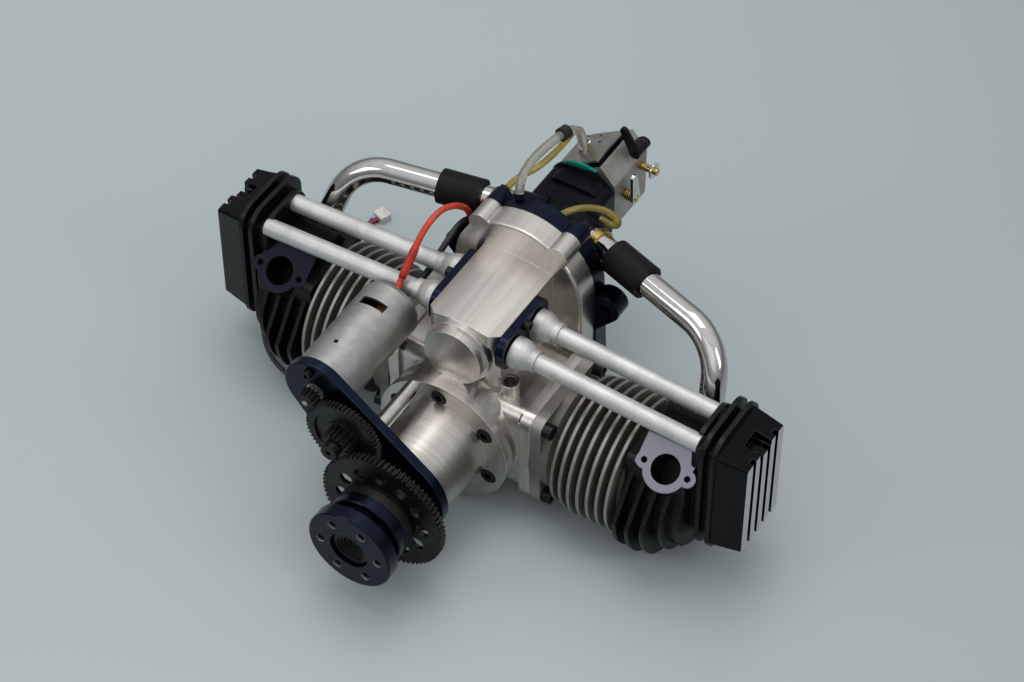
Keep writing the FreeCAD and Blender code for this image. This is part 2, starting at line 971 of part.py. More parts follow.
node("crankshaft", cut(
    fuse(
        cylinder("noseRadius", "plateFront - hubRecessDepth", (0, "hubRecessDepth", 0)),
        cylinder("journalRadius", "pinOneStart - plateFront", (0, "plateFront", 0)),
        cylinder("webRadius", "webThickness", (0, "pinOneStart - webThickness", 0)),
        cylinder("crankPinRadius", "crankPinLength", ("crankThrow", "pinOneStart", 0)),
        cylinder("webRadius", "pinTwoStart - pinOneStart - crankPinLength", (0, "pinOneStart + crankPinLength", 0)),
        cylinder("crankPinRadius", "crankPinLength", ("-crankThrow", "pinTwoStart", 0)),
        cylinder("webRadius", "webThickness", (0, "crankTailStart", 0)),
        cylinder("journalRadius", "crankRear - crankTailStart", (0, "crankTailStart", 0)),
    ),
    cylinder("retainerShank + pressGap", "retainerReach + 2", (0, "hubRecessDepth - 1", 0)),
))

node("main_bearings", group(*[
    cut(
        cylinder("bearingRadius", "bearingWidth", (0, start, 0)),
        cylinder("journalRadius + runningGap", "bearingWidth + 2", (0, start + " - 1", 0)),
    )
    for start in ("frontBearing", "rearBearing")
]))

# starter gears

gearHoles = []
for index in range(int(size("gearHoleCount"))):
    turn = "(%d * 360 / gearHoleCount)" % index
    centre = ("gearHoleCircle * cos" + turn, "gearFront - 1", "gearHoleCircle * sin" + turn)
    gearHoles.append(cylinder("gearHoleRadius", "gearWidth + 2", centre))
crankWheel = spurGear(size("gearTeeth"), size("gearModule"), size("gearWidth"), size("gearFront"), 0)
gearRecess = cut(
    cylinder("gearRecessOuter", "gearWidth - gearWeb + 1", (0, "gearFront + gearWeb", 0)),
    cylinder("gearRecessInner", "gearWidth + 2", (0, "gearFront", 0)),
)
node("crank_gear", cut(
    fuse(
        cut(crankWheel, gearRecess, *gearHoles),
        cylinder("clutchRadius", "clutchLength", (0, "hubLength", 0)),
        cylinder("gearHubRadius + 2", "gearFront - hubLength", (0, "hubLength", 0)),
        cylinder("gearHubRadius", "plateFront - 5 * sideGap - hubLength", (0, "hubLength", 0)),
    ),
    cylinder("noseRadius + pressGap", "plateFront", (0, "hubLength - 1", 0)),
))

pinionPhase = partnerPhase(0, size("gearTeeth"), size("pinionTeeth"), size("idlerAngle"))
idlerWheel = spurGear(size("wheelTeeth"), size("wheelModule"), size("wheelWidth"), size("wheelFront"), 0)
pinionFront = size("idlerPinFront") + size("idlerCollarLength") + size("idlerPinionGap")
idlerPinion = spurGear(size("pinionTeeth"), size("gearModule"), size("wheelFront") + 1 - pinionFront, pinionFront,
                       pinionPhase)
wheelRecess = cut(
    cylinder("wheelRecessRadius", "wheelRecess + 1", (0, "wheelFront - 1", 0)),
    cylinder("idlerHub + 5", "wheelRecess + 3", (0, "wheelFront - 2", 0)),
)
node("idler_gear", place(cut(
    fuse(
        cut(idlerWheel, wheelRecess),
        idlerPinion,
        cylinder("idlerHub", "plateFront - sideGap - wheelFront", (0, "wheelFront", 0)),
    ),
    cylinder("idlerPinRadius + runningGap", "plateFront", (0, 10, 0)),
), ("idlerX", 0, "idlerZ")))

node("idler_pin", cut(
    fuse(
        cylinder("idlerPinRadius", "plateRear - idlerPinFront", ("idlerX", "idlerPinFront", "idlerZ")),
        cylinder("idlerPinHead", "idlerCollarLength", ("idlerX", "idlerPinFront", "idlerZ")),
    ),
    hexagon("idlerPinSocket", "idlerPinSocketDepth", ("idlerX", "idlerPinFront", "idlerZ")),
))

motorPhase = partnerPhase(0, size("wheelTeeth"), size("motorPinionTeeth"), size("motorAngle"))
motorWheel = spurGear(size("motorPinionTeeth"), size("wheelModule"), size("motorPinionLength"),
                      size("wheelFront") - 1, motorPhase)
node("motor_pinion", place(
    cut(motorWheel, cylinder("motorShaftRadius + pressGap", 20, (0, "wheelFront - 5", 0))),
    ("motorX", 0, "motorZ"),
))

# starter plate, motor and standoff

plateSolid = link((0, 0, size("plateCrankRadius")), (size("motorX"), size("motorZ"), size("plateMotorRadius")),
                  size("plateFront"), size("plateThickness"))
screwTurns = ("(motorScrewAngle)", "(motorScrewAngle + 180)")
screwPlaces = [("motorX + motorScrewCircle * cos" + turn, "motorZ + motorScrewCircle * sin" + turn)
               for turn in screwTurns]
node("starter_plate", cut(
    shaped(edged(plateSolid, size("plateEdge"), size("plateFront")), "Link"),
    cylinder("plateCrankBore", "plateThickness + 2", (0, "plateFront - 1", 0)),
    cylinder("motorBossRadius + runningGap", "plateThickness + 2", ("motorX", "plateFront - 1", "motorZ")),
    cylinder("idlerPinRadius + pressGap", "plateThickness + 2", ("idlerX", "plateFront - 1", "idlerZ")),
    *[cylinder("motorScrewShank + runningGap", "plateThickness + 2", (across, "plateFront - 1", rise))
      for across, rise in screwPlaces],
))

node("motor_screws", group(*[
    cut(
        fuse(
            cylinder("motorScrewHead", 3, (across, "plateFront - 3", rise)),
            cylinder("motorScrewShank", "plateThickness + motorWall", (across, "plateFront", rise)),
        ),
        hexagon(1.4, 1.6, (across, "plateFront - 3", rise)),
    )
    for across, rise in screwPlaces
]))

canBody = revolved([
    (0, "plateFront"),
    ("motorBossRadius", "plateFront"),
    ("motorBossRadius", "plateRear"),
    ("motorRadius", "plateRear"),
    ("motorRadius", "motorRear - motorRound"),
    ("motorRadius - motorRound * 0.3", "motorRear - motorRound * 0.3"),
    ("motorRadius - motorRound", "motorRear"),
    (0, "motorRear"),
])
canTool = fuse(
    cylinder("motorRadius - motorWall", "motorLength - 2 * motorWall", (0, "plateRear + motorWall", 0)),
    cylinder("motorShaftRadius + runningGap", "motorRear - plateFront + 2", (0, "plateFront - 1", 0)),
    box("motorVentLength", "motorVentWidth", "motorRadius", ("-motorVentLength / 2", "motorVentFront", 6)),
    box("motorKeySide", "motorKeySide", "motorRadius", ("-motorKeySide", "motorKeyY", 6)),
    *[cylinder("motorScrewShank + pressGap", "motorWall + 2",
               ("motorScrewCircle * cos" + turn, "plateRear - 1", "motorScrewCircle * sin" + turn))
      for turn in screwTurns],
)
canShell = place(cut(canBody, canTool), ("motorX", 0, "motorZ"))
node("motor_can", fuse(canShell, nipple("motor_lead_red", 0), nipple("motor_lead_black", 0)))

node("motor_armature", place(fuse(
    cylinder("motorShaftRadius", "motorRear + 2 - armatureFront", (0, "armatureFront", 0)),
    cylinder("rotorRadius", "rotorLength", (0, "rotorFront", 0)),
    cylinder("commutatorRadius", "commutatorLength", (0, "commutatorFront", 0)),
), ("motorX", 0, "motorZ")))

node("standoff_rod", cylinder("rodRadius", "flangeFront - plateRear", ("-rodX", "plateRear", "rodZ")))

# front housing

housing = revolved([
    ("snoutLip", "plateRear"),
    ("snoutRadius - snoutEdge", "plateRear"),
    ("snoutRadius", "plateRear + snoutEdge"),
    ("snoutRadius", "plateRear + snoutStraight"),
    ("snoutEndRadius", "flangeFront"),
    ("flangeRadius", "flangeFront"),
    ("flangeRadius", "flangeRear"),
    ("spigotRadius", "flangeRear"),
    ("spigotRadius", "flangeRear + spigotLength"),
    ("bearingRadius + pressGap", "flangeRear + spigotLength"),
    ("bearingRadius + pressGap", "frontBearing"),
    ("snoutLip", "frontBearing"),
])
screwSpot = ("flangeScrewCircle * cos(flangeScrewAngle)", "flangeScrewCircle * sin(flangeScrewAngle)")
seat = circleSketch(housing, "XZ_Plane", *screwSpot, "counterboreRadius", "-flangeFront")
ringOf(housing, drilled(housing, seat, "counterboreDepth"), "flangeScrewCount")
hole = circleSketch(housing, "XZ_Plane", *screwSpot, "capShankRadius + runningGap", "-flangeFront")
ringOf(housing, drilled(housing, hole), "flangeScrewCount")
node("front_housing", housing)


def capScrew(at, heading, head, headLength, shank, length):
    # a socket head screw whose head seats at the given point, with its shank pointing along the heading
    back = {"X": "-X", "-X": "X", "Y": "-Y", "-Y": "Y"}[heading]
    letter = heading[-1].lower()
    sign = "+" if heading[0] == "-" else "-"
    top = list(at)
    top["xyz".index(letter)] = "%s %s %s" % (at["xyz".index(letter)], sign, headLength)
    return cut(
        fuse(
            cylinder(head, headLength, at, back),
            cylinder(shank, length, at, heading),
        ),
        hexagon("%s * 0.55" % head, "%s * 0.5" % headLength, top, heading),
    )


flangeScrews = []
for index in range(int(size("flangeScrewCount"))):
    turn = "(flangeScrewAngle + %d * 360 / flangeScrewCount)" % index
    spot = ("flangeScrewCircle * cos" + turn, "flangeFront + counterboreDepth", "flangeScrewCircle * sin" + turn)
    flangeScrews.append((spot, turn))
node("housing_screws", group(*[
    capScrew(spot, "Y", "capHeadRadius", "capHeadLength", "capShankRadius", "capShankLength")
    for spot, turn in flangeScrews
]))

# crankcase


def bankBlock(side, reach, start, inset):
    # the square block that carries one cylinder, drawn for the right-hand bank about its own axis
    block = box(reach, "padY - 2 * %s" % inset, "padZ - 2 * %s" % inset,
                (start, "-padY / 2 + %s" % inset, "-padZ / 2 + %s" % inset))
    return rounded(block, "padRound", "x")


def rightBank(item):
    return copied(item, (0, "bankRight", 0))


def leftBank(item):
    copy = mirrored(item)
    bind(copy, "Placement.Base.y", "bankLeft")
    return copy


def bothBanks(item):
    return [rightBank(item), leftBank(item)]


neck = bankBlock("right", "padFace - padThickness", 0, "neckInset")
pad = bankBlock("right", "padThickness", "padFace - padThickness", "0")
camBox = common(
    padded("XY_Plane", [
        ("-camBoxHalf", "wallFront + 1"),
        ("-camBoxHalf", "camBoxFront + camBoxChamfer"),
        ("-camBoxHalf + camBoxChamfer", "camBoxFront"),
        ("camBoxHalf - camBoxChamfer", "camBoxFront"),
        ("camBoxHalf", "camBoxFront + camBoxChamfer"),
        ("camBoxHalf", "wallFront + 1"),
    ], "camBoxCrown + 1"),
    cylinder("crownRadius", "wallFront", (0, "camBoxFront - 10", "camBoxCrown - crownRadius")),
)
drumSolid = link((0, 0, size("drumLowRadius")), (0, size("camHeight"), size("drumRadius")), size("wallFront"),
                 size("drumLength"))
drum = shaped(edged(drumSolid, size("drumEdge"), size("wallFront")), "Drum")
gearChamber = shaped(link((0, 0, size("drumCavityLow")), (0, size("camHeight"), size("drumCavity")),
                          size("wallRear"), size("drumLength")), "GearChamber")
ears = [cylinder("earRadius", "drumLength", (side + "earX", "wallFront", "earZ")) for side in ("", "-")]
caseBody = fuse(
    cylinder("coreRadius", "wallFront - flangeRear + 1", (0, "flangeRear", 0)),
    cylinder("coreRimRadius", "coreRimLength", (0, "flangeRear", 0)),
    *bothBanks(neck),
    *bothBanks(pad),
    camBox,
    cylinder("camBossRadius", "camBoxFront - camBossFront + 1", (0, "camBossFront", "camHeight")),
    cylinder("camBossRadius + camBossStep", "camBoxFront - camBossStepFront + 1",
             (0, "camBossStepFront", "camHeight")),
    drum,
    *ears,
    cylinder("ventRadius", "ventTop", ("ventX", "ventY", 0), "Z"),
    nipple("sensor_cable", 0, 3),
)
sleeveBore = cylinder("sleeveRadius + pressGap", "padFace - sleeveSeat + 1", ("sleeveSeat", 0, 0), "X")
baseHole = group(*[
    cylinder("capShankRadius + pressGap", "baseThickness + padThickness",
             ("padFace - padThickness - 2", y + "baseScrewY", z + "baseScrewZ"), "X")
    for y in ("", "-") for z in ("", "-")
])
backScrewSpots = [(side + across, height) for side in ("", "-")
                  for across, height in (("backScrewTopX", "backScrewTopZ"), ("backScrewX", "backScrewZ"),
                                         ("backScrewLowX", "-backScrewLowZ"))]
tappetHole = cylinder("tappetScrewShank + pressGap", "tappetScrewDepth",
                      ("camBoxHalf - tappetScrewDepth + 1", 0, "tappetScrewZ"), "X")
node("crankcase", cut(
    caseBody,
    cylinder("spigotRadius + pressGap", "chamberFront - flangeRear + 1", (0, "flangeRear - 1", 0)),
    cylinder("chamberRadius", "rearBearing - chamberFront", (0, "chamberFront", 0)),
    cylinder("bearingRadius + pressGap", "bearingWidth + 1", (0, "rearBearing - 1", 0)),
    cylinder("snoutLip", "drumWall + 2", (0, "wallFront - 1", 0)),
    box("2 * sleeveSeat + 2", "rearBearing - chamberFront", "chamberRadius",
        ("-sleeveSeat - 1", "chamberFront", "-chamberRadius / 2")),
    *bothBanks(sleeveBore),
    *bothBanks(baseHole),
    *bothBanks(tappetHole),
    cylinder("camFrontRadius + runningGap", "camBoxFront - camBoreFront", (0, "camBoreFront", "camHeight")),
    cylinder("camTunnelRadius", "wallRear - camJournalLength - camBoxFront", (0, "camBoxFront", "camHeight")),
    cylinder("camRearRadius + runningGap", "camJournalLength + 2", (0, "wallRear - camJournalLength - 1", "camHeight")),
    gearChamber,
    cylinder("ventBore", "ventDepth", ("ventX", "ventY", "ventTop - ventDepth + 1"), "Z"),
    *[cylinder("capShankRadius + pressGap", "capShankLength + 1", (spot[0], "flangeRear - 1", spot[2]))
      for spot, turn in flangeScrews],
    *[cylinder("backScrewRadius + pressGap", "backScrewDepth + 2", (across, "drumRear - backScrewDepth - 1", rise))
      for across, rise in backScrewSpots],
))

# timing gears, camshaft and back plate

camPhase = partnerPhase(0, size("crankTeeth"), size("camTeeth"), 90)
timingPinion = spurGear(size("crankTeeth"), size("timingModule"), size("timingWidth"), size("timingFront"), 0)
node("timing_pinion", cut(
    timingPinion,
    cylinder("journalRadius + pressGap", "timingWidth + 2", (0, "timingFront - 1", 0)),
))
camWheel = spurGear(size("camTeeth"), size("timingModule"), size("timingWidth"), size("timingFront"), camPhase)
node("cam_gear", place(
    cut(camWheel, cylinder("camShaftRadius + pressGap", "timingWidth + 2", (0, "timingFront - 1", 0))),
    (0, 0, "camHeight"),
))

lobes = []
for index, (bank, spread, turn) in enumerate((("bankRight", "-", 90), ("bankRight", "+", 200),
                                              ("bankLeft", "-", 270), ("bankLeft", "+", 20))):
    lobes.append(cylinder("lobeRadius", "lobeLength",
                          ("lobeLift * cos(%d)" % turn, "%s %s tubeSpread / 2 - lobeLength / 2" % (bank, spread),
                           "camHeight + lobeLift * sin(%d)" % turn)))
node("camshaft", fuse(
    cylinder("camFrontRadius", "camBoxFront - camBoreFront - sideGap", (0, "camBoreFront + sideGap", "camHeight")),
    cylinder("camShaftRadius", "timingFront + timingWidth + 1 - camBoxFront", (0, "camBoxFront", "camHeight")),
    cylinder("camRearRadius", "camJournalLength", (0, "wallRear - camJournalLength", "camHeight")),
    *lobes,
))

backSolid = link((0, 0, size("backLowRadius")), (0, size("camHeight"), size("drumRadius")), size("drumRear"),
                 size("backThickness"))
lugSpots = [(side * size("lugX"), height) for side in (1, -1) for height in (size("lugRise"), -size("lugDrop"))]
arms = [shaped(link((0, 0, size("lugArmRadius")), (across, rise, size("lugRadius")), size("drumRear"),
                    size("backThickness")), "Arm") for across, rise in lugSpots]
node("backplate", cut(
    fuse(
        shaped(backSolid, "BackPlate"),
        *arms,
        *[cylinder("earRadius", "backThickness", (side + "earX", "drumRear", "earZ")) for side in ("", "-")],
        nipple("breather_hose", 0, 3),
        nipple("fuel_tube", 0),
        nipple("fuel_loop", 0),
    ),
    *[cylinder("lugHoleRadius", "backThickness + 2", (side + "lugX", "drumRear - 1", rise))
      for side in ("", "-") for rise in ("lugRise", "-lugDrop")],
    *[cylinder("backScrewRadius + pressGap", "backThickness + 2", (across, "drumRear - 1", rise))
      for across, rise in backScrewSpots],
))
node("backplate_screws", group(*[
    capScrew((across, "backRear", rise), "-Y", "backScrewHead", "backScrewHead", "backScrewRadius",
             "backThickness + backScrewDepth")
    for across, rise in backScrewSpots
]))

# cylinders and pistons

barrel = [
    ("padFace - sleeveLength", "bore / 2"),
    ("padFace - sleeveLength", "sleeveRadius"),
    ("padFace", "sleeveRadius"),
    ("padFace", "collarRadius"),
    ("padFace + baseThickness + collarLength", "collarRadius"),
    ("padFace + baseThickness + collarLength + collarTaper", "barrelRadius"),
]
for index in range(int(size("finCount"))):
    start = "finStart + %d * finPitch" % index
    rim = "finRadius - %d * finShrink" % max(0, 2 - index)
    barrel += [
        (start, "barrelRadius"),
        (start, rim),
        (start + " + finThickness", rim),
        (start + " + finThickness", "barrelRadius"),
    ]
barrel += [("barrelTop", "barrelRadius"), ("barrelTop", "bore / 2")]
base = rounded(box("baseThickness", "padY", "padZ", ("padFace", "-padY / 2", "-padZ / 2")), "padRound", "x")
cylinderRight = fuse(
    revolved(barrel, "H_Axis"),
    cut(base, cylinder("sleeveRadius", "baseThickness + 2", ("padFace - 1", 0, 0), "X"), *[
        cylinder("capShankRadius + runningGap", "baseThickness + 2", ("padFace - 1", y + "baseScrewY", z + "baseScrewZ"),
                 "X")
        for y in ("", "-") for z in ("", "-")
    ]),
)
node("cylinder_right", rightBank(cylinderRight))
node("cylinder_left", leftBank(cylinderRight))
baseScrews = group(*[
    capScrew(("padFace + baseThickness", y + "baseScrewY", z + "baseScrewZ"), "-X", "capHeadRadius",
             "capHeadLength", "capShankRadius", "baseThickness + padThickness - 1")
    for y in ("", "-") for z in ("", "-")
])
node("cylinder_screws", group(*bothBanks(baseScrews)))

skirt = [
    ("pistonStart", "bore / 2 - runningGap - pistonWall"),
    ("pistonStart", "bore / 2 - runningGap"),
]
for index in (2, 1):
    ring = "pistonTop - %d * ringPitch" % index
    skirt += [
        (ring, "bore / 2 - runningGap"),
        (ring, "bore / 2 - runningGap - ringDepth"),
        (ring + " + ringWidth", "bore / 2 - runningGap - ringDepth"),
        (ring + " + ringWidth", "bore / 2 - runningGap"),
    ]
skirt += [
    ("pistonTop", "bore / 2 - runningGap"),
    ("pistonTop", 0),
    ("pistonTop - pistonCrown", 0),
    ("pistonTop - pistonCrown", "bore / 2 - runningGap - pistonWall"),
]
piston = revolved(skirt, "H_Axis")
node("piston_right", rightBank(piston))
node("piston_left", leftBank(piston))

# cylinder heads

envelope = padded("YZ_Plane", [
    ("-deckHalf", "deckHeight"),
    ("-headFinRadius", "shoulderHeight"),
    ("-headFinRadius - 1", "-headFinRadius - 1"),
    ("headFinRadius + 1", "-headFinRadius - 1"),
    ("headFinRadius", "shoulderHeight"),
    ("deckHalf", "deckHeight"),
], "headLength", "barrelTop")
fins = [
    cylinder(rim, "headFinThickness", ("headFinStart + %d * headFinPitch" % index, 0, 0), "X")
    for index, rim in enumerate(("headFinRadius - 0.4", "headFinRadius", "headFinThird", "headFinLast"))
]
exhaustTurn = FreeCAD.Rotation(Vector(1, 0, 0), size("portTilt"))
intakeHeading = Vector(size("kneeX") - size("inletX"), size("kneeRearward"), size("kneeZ") - size("inletZ"))
intakeHeading.normalize()
intakeTurn = FreeCAD.Rotation(Vector(0, 0, 1), intakeHeading)
plugTurn = FreeCAD.Rotation(Vector(1, 0, 0), -size("plugTilt"))


def turnedCylinder(radius, low, high, centre, turn):
    # a cylinder between two heights measured along a turned axis through the centre
    item = cylinder(radius, "%s - (%s)" % (high, low), (0, 0, 0), turn=turn)
    heading = turn.multVec(Vector(0, 0, 1))
    for letter, text in zip("xyz", centre):
        bind(item, "Placement.Base." + letter, "%s + (%s) * %.9f" % (text, low, getattr(heading, letter)))
    return item


exhaust = ("portX", "-portY", "portZ")
intake = ("inletX", "inletY", "inletZ")
plugFoot = ("plugX", 0, 0)
portEars = []
portScrews = []
for side in ("-", "+"):
    centre = ("portX %s portEarReach" % side, "-portY", "portZ")
    portEars.append(turnedCylinder("portEarRadius", "-portEarThickness", "0", centre, exhaustTurn))
    portScrews.append(turnedCylinder("portScrewRadius", "-portEarThickness - 4", "1", centre, exhaustTurn))
portBridge = box("2 * portEarReach", "2 * portEarRadius", "portEarThickness", turn=exhaustTurn)
for letter, text in zip("xyz", ("portX - portEarReach",
                                "-portY - portEarRadius * cos(portTilt) + portEarThickness * sin(portTilt)",
                                "portZ - portEarRadius * sin(portTilt) - portEarThickness * cos(portTilt)")):
    bind(portBridge, "Placement.Base." + letter, text)

headPlates = []
for index, (drop, inset) in enumerate((("plateFirstDrop", "plateFirstInset"), ("0", "0"), ("0", "0"))):
    plate = box("plateSize", "plateFrontY + plateRearY - 2 * %s" % inset, "plateLow + plateHigh - %s" % drop,
                ("plateStart + %d * platePitch" % index, "-plateFrontY + %s" % inset, "-plateLow"))
    headPlates.append(rounded(plate, "plateRound", "x"))
rockerBox = rounded(box("coverStart - headEnd + 1", "coverFrontY + coverRearY - 2 * boxInset",
                        "coverLow + coverHigh - 2 * boxInset",
                        ("headEnd - 1", "-coverFrontY + boxInset", "-coverLow + boxInset")), "coverRound", "x")
tubeTurn = FreeCAD.Rotation(Vector(0, 1, 0), 90 + size("tubeFall"))
tubeStarts = [("tubeStart", side + "tubeSpread", "tubeHeight") for side in ("", "-")]
roof = padded("YZ_Plane", [
    ("-seatFront", "deckHeight - roofSink"),
    ("-seatFront", "deckHeight"),
    ("-roofFront", "roofHeight"),
    ("roofBack", "roofHeight"),
    ("deckHalf", "deckHeight"),
    ("deckHalf", "deckHeight - roofSink"),
], "plateStart + plateSize - roofStart", "roofStart")
headSolid = fuse(
    common(fuse(*fins), envelope),
    roof,
    cylinder("headCore", "headLength", ("barrelTop", 0, 0), "X"),
    rounded(box("headLength", "2 * headBlockHalf", "headBlockLow + deckHeight",
                ("barrelTop", "-headBlockHalf", "-headBlockLow")), "blockRound", "x"),
)
headRight = cut(
    fuse(
        cut(headSolid, turnedCylinder("plugWell", "plugSeat", "plugSeat + 20", plugFoot, plugTurn)),
        turnedCylinder("portBossRadius", "-portDepth - 4", "0", exhaust, exhaustTurn),
        portBridge,
        *portEars,
        turnedCylinder("inletBossRadius", "-inletBossLength", "inletBossLip", intake, intakeTurn),
        *headPlates,
        rockerBox,
    ),
    cylinder("chamberDome", "chamberDomeDepth", ("barrelTop - 0.01", 0, 0), "X"),
    turnedCylinder("portBore", "-portDepth", "2", exhaust, exhaustTurn),
    *portScrews,
    turnedCylinder("pipeRadius + pressGap", "0", "inletBossLip + 2", intake, intakeTurn),
    turnedCylinder("pipeRadius - pipeWall", "-inletBossLength", "1", intake, intakeTurn),
    turnedCylinder("plugThreadRadius + pressGap", "plugSeat - plugThreadLength - 1", "plugSeat + 1", plugFoot,
                   plugTurn),
    *[turnedCylinder("tubeRadius + collarTubeGap", "0", "tubeLength + sideGap", start, tubeTurn)
      for start in tubeStarts],
)
node("head_right", rightBank(headRight))
node("head_left", leftBank(headRight))

sparkPlug = fuse(
    turnedCylinder("plugThreadRadius", "plugSeat - plugThreadLength", "plugSeat", plugFoot, plugTurn),
    common(
        turnedCylinder("plugHex", "plugSeat", "plugSeat + plugHexLength", plugFoot, plugTurn),
        turnedCylinder("plugHex - 0.3", "plugSeat", "plugSeat + plugHexLength", plugFoot, plugTurn),
    ),
    turnedCylinder("plugNoseRadius", "plugSeat + plugHexLength", "plugSeat + plugHexLength + plugNoseLength",
                   plugFoot, plugTurn),
)
node("spark_plug_right", rightBank(sparkPlug))
node("spark_plug_left", leftBank(sparkPlug))

# rocker covers

coverShell = doc.addObject("Part::Wedge", "Wedge")
for name, text in (
    ("Xmin", "-coverRearY"), ("Xmax", "coverFrontY"), ("Ymin", "0"), ("Ymax", "coverLength"),
    ("Zmin", "-coverLow"), ("Zmax", "coverHigh"), ("X2min", "coverTaperRear - coverRearY"),
    ("X2max", "coverFrontY - coverTaperFront"), ("Z2min", "coverTaperLow - coverLow"),
    ("Z2max", "coverHigh - coverTaperHigh"),
):
    bind(coverShell, name, text)
place(coverShell, ("coverStart", 0, 0), FreeCAD.Rotation(Vector(0, 0, 1), -90))
coverSides = rounded(coverShell, "coverRound", "x")
grooves = [
    box("grooveDepth + 1", "grooveWidth", "coverLow + coverHigh + 5 - grooveTopStop",
        ("coverStart + coverLength - grooveDepth", "grooveFirst + %d * groovePitch - grooveWidth / 2 + 0.6" % index,
         "-coverLow - 5"))
    for index in range(int(size("grooveCount")))
]
coverRight = cut(
    coverSides,
    *grooves,
    box("notchLength + 5", "notchWidth", "notchDepth + 10",
        ("coverStart + coverLength - notchLength", "notchFront", "coverHigh - notchDepth")),
    box("coverLength - grooveDepth - coverWall + 1", "coverFrontY + coverRearY - 2 * coverWall - coverTaperFront",
        "coverLow + coverHigh - notchDepth - 2 * coverWall",
        ("coverStart - 1", "-coverFrontY + coverWall + coverTaperFront / 2", "-coverLow + coverWall")),
)
node("rocker_cover_right", rightBank(coverRight))
node("rocker_cover_left", leftBank(coverRight))

# tappet plates, collars and push-rod tubes

bells = []
for start in tubeStarts:
    bell = revolved([
        ("tubeRadius + collarTubeGap", 0),
        ("bellRadius", 0),
        ("bellRadius", "bellStraight"),
        ("bellRadius - (bellRadius - bellNeck) * 0.35", "bellStraight + (bellLength - bellStraight) * 0.3"),
        ("bellNeck", "bellStraight + (bellLength - bellStraight) * 0.65"),
        ("bellNeck", "bellLength"),
        ("tubeRadius + collarTubeGap", "bellLength"),
    ])
    tilt = FreeCAD.Rotation(Vector(0, 1, 0), size("tubeFall"))
    place(bell, (
        "camBoxHalf + tappetThickness + bellRadius * sin(tubeFall)",
        start[1],
        "tubeHeight + (tubeStart - camBoxHalf - tappetThickness) * sin(tubeFall)",
    ), tilt.multiply(FreeCAD.Rotation(Vector(0, 0, 1), -90)))
    bells.append(bell)
bellPair = group(*bells)
node("tube_collars", group(*bothBanks(bellPair)))
tubePair = group(*[turnedCylinder("tubeRadius", "0", "tubeLength", start, tubeTurn) for start in tubeStarts])
node("pushrod_tubes", group(*bothBanks(tubePair)))

tappetBlock = rounded(box("tappetThickness", "tappetY", "tappetZ",
                          ("camBoxHalf", "-tappetY / 2", "tappetCentre - tappetZ / 2")), "tappetRound", "x")
tappetRight = cut(
    tappetBlock,
    cylinder("tappetScrewShank + runningGap", "tappetThickness + 2", ("camBoxHalf - 1", 0, "tappetScrewZ"), "X"),
)
node("tappet_plate_right", rightBank(tappetRight))
node("tappet_plate_left", leftBank(tappetRight))
tappetScrew = capScrew(("camBoxHalf + tappetThickness", 0, "tappetScrewZ"), "-X", "tappetScrewHead",
                       "tappetScrewLength", "tappetScrewShank", "tappetThickness + tappetScrewDepth - 2")
node("tappet_screws", group(*bothBanks(tappetScrew)))

# intake manifold, pipes and hoses

stubs = []
rings = []
bosses = []
stubBores = []
for side, label, bank in ((1, "right", "bankRight"), (-1, "left", "bankLeft")):
    port = Vector(side * size("inletX"), size(bank) + size("inletY"), size("inletZ"))
    knee = Vector(side * size("kneeX"), port.y + size("kneeRearward"), size("kneeZ"))
    seatPoint = Vector(side * size("pipeSeatX"), size("pipeSeatY"), size("pipeSeatZ"))

    def onLine(distance):
        # the point of the pipe's straight inner run at a given distance from the engine's middle plane
        return along(knee, seatPoint, (size("kneeX") - distance) / (size("kneeX") - size("pipeSeatX")))

    innerEnd = onLine(size("pipeEndX"))
    wire, bends = route([port, knee, innerEnd], [size("kneeRadius")])
    outer = swept(wire, size("pipeRadius"))
    inner = swept(wire, size("pipeRadius") - size("pipeWall"))
    node("intake_pipe_" + label, shaped(outer.cut(inner), "Pipe"))
    node("intake_hose_" + label, shaped(
        rodBetween(onLine(size("hoseStartX")), onLine(size("hoseEndX")), size("hoseRadius"),
                   size("pipeRadius") + size("runningGap")), "Hose"))
    stubs.append(shaped(rodBetween(onLine(size("stubStartX")), onLine(size("stubEndX")), size("pipeRadius"),
                                   size("pipeRadius") - size("pipeWall")), "Stub"))
    rings.append(shaped(rodBetween(onLine(size("ringStartX")), onLine(size("ringEndX")), size("ringRadius"),
                                   size("pipeRadius") + size("pressGap")), "StubRing"))
    bosses.append(shaped(rodBetween(onLine(5), onLine(size("stubBossX")), size("stubBossRadius")), "Boss"))
    stubBores.append(shaped(rodBetween(onLine(size("stubStartX")), onLine(size("stubEndX")),
                                       size("pipeRadius") + size("pressGap")), "StubBore"))
    stubBores.append(shaped(rodBetween(onLine(0), onLine(size("stubEndX")), size("pipeRadius") - size("pipeWall")),
                            "Passage"))
node("manifold_stubs", group(*stubs))
node("stub_rings", group(*rings))
manifoldBlock = rounded(box("2 * manifoldHalf", "manifoldLength", "manifoldTop - manifoldLow",
                            ("-manifoldHalf", "backRear", "manifoldLow")), "manifoldRound", "y")
manifoldBand = rounded(box("2 * manifoldHalf - 2 * manifoldBandInset", "manifoldBandLength",
                           "manifoldTop - manifoldLow",
                           ("manifoldBandInset - manifoldHalf", "manifoldRear - manifoldBandLength",
                            "manifoldLow + manifoldBandRise")), "manifoldRound", "y")
node("intake_manifold", cut(
    fuse(manifoldBlock, manifoldBand, nipple("fuel_loop", -1), *bosses),
    *stubBores,
    cylinder("throatRadius", "throatDepth + 1", (0, "manifoldRear - throatDepth", "throatHeight")),
))

# carburettor

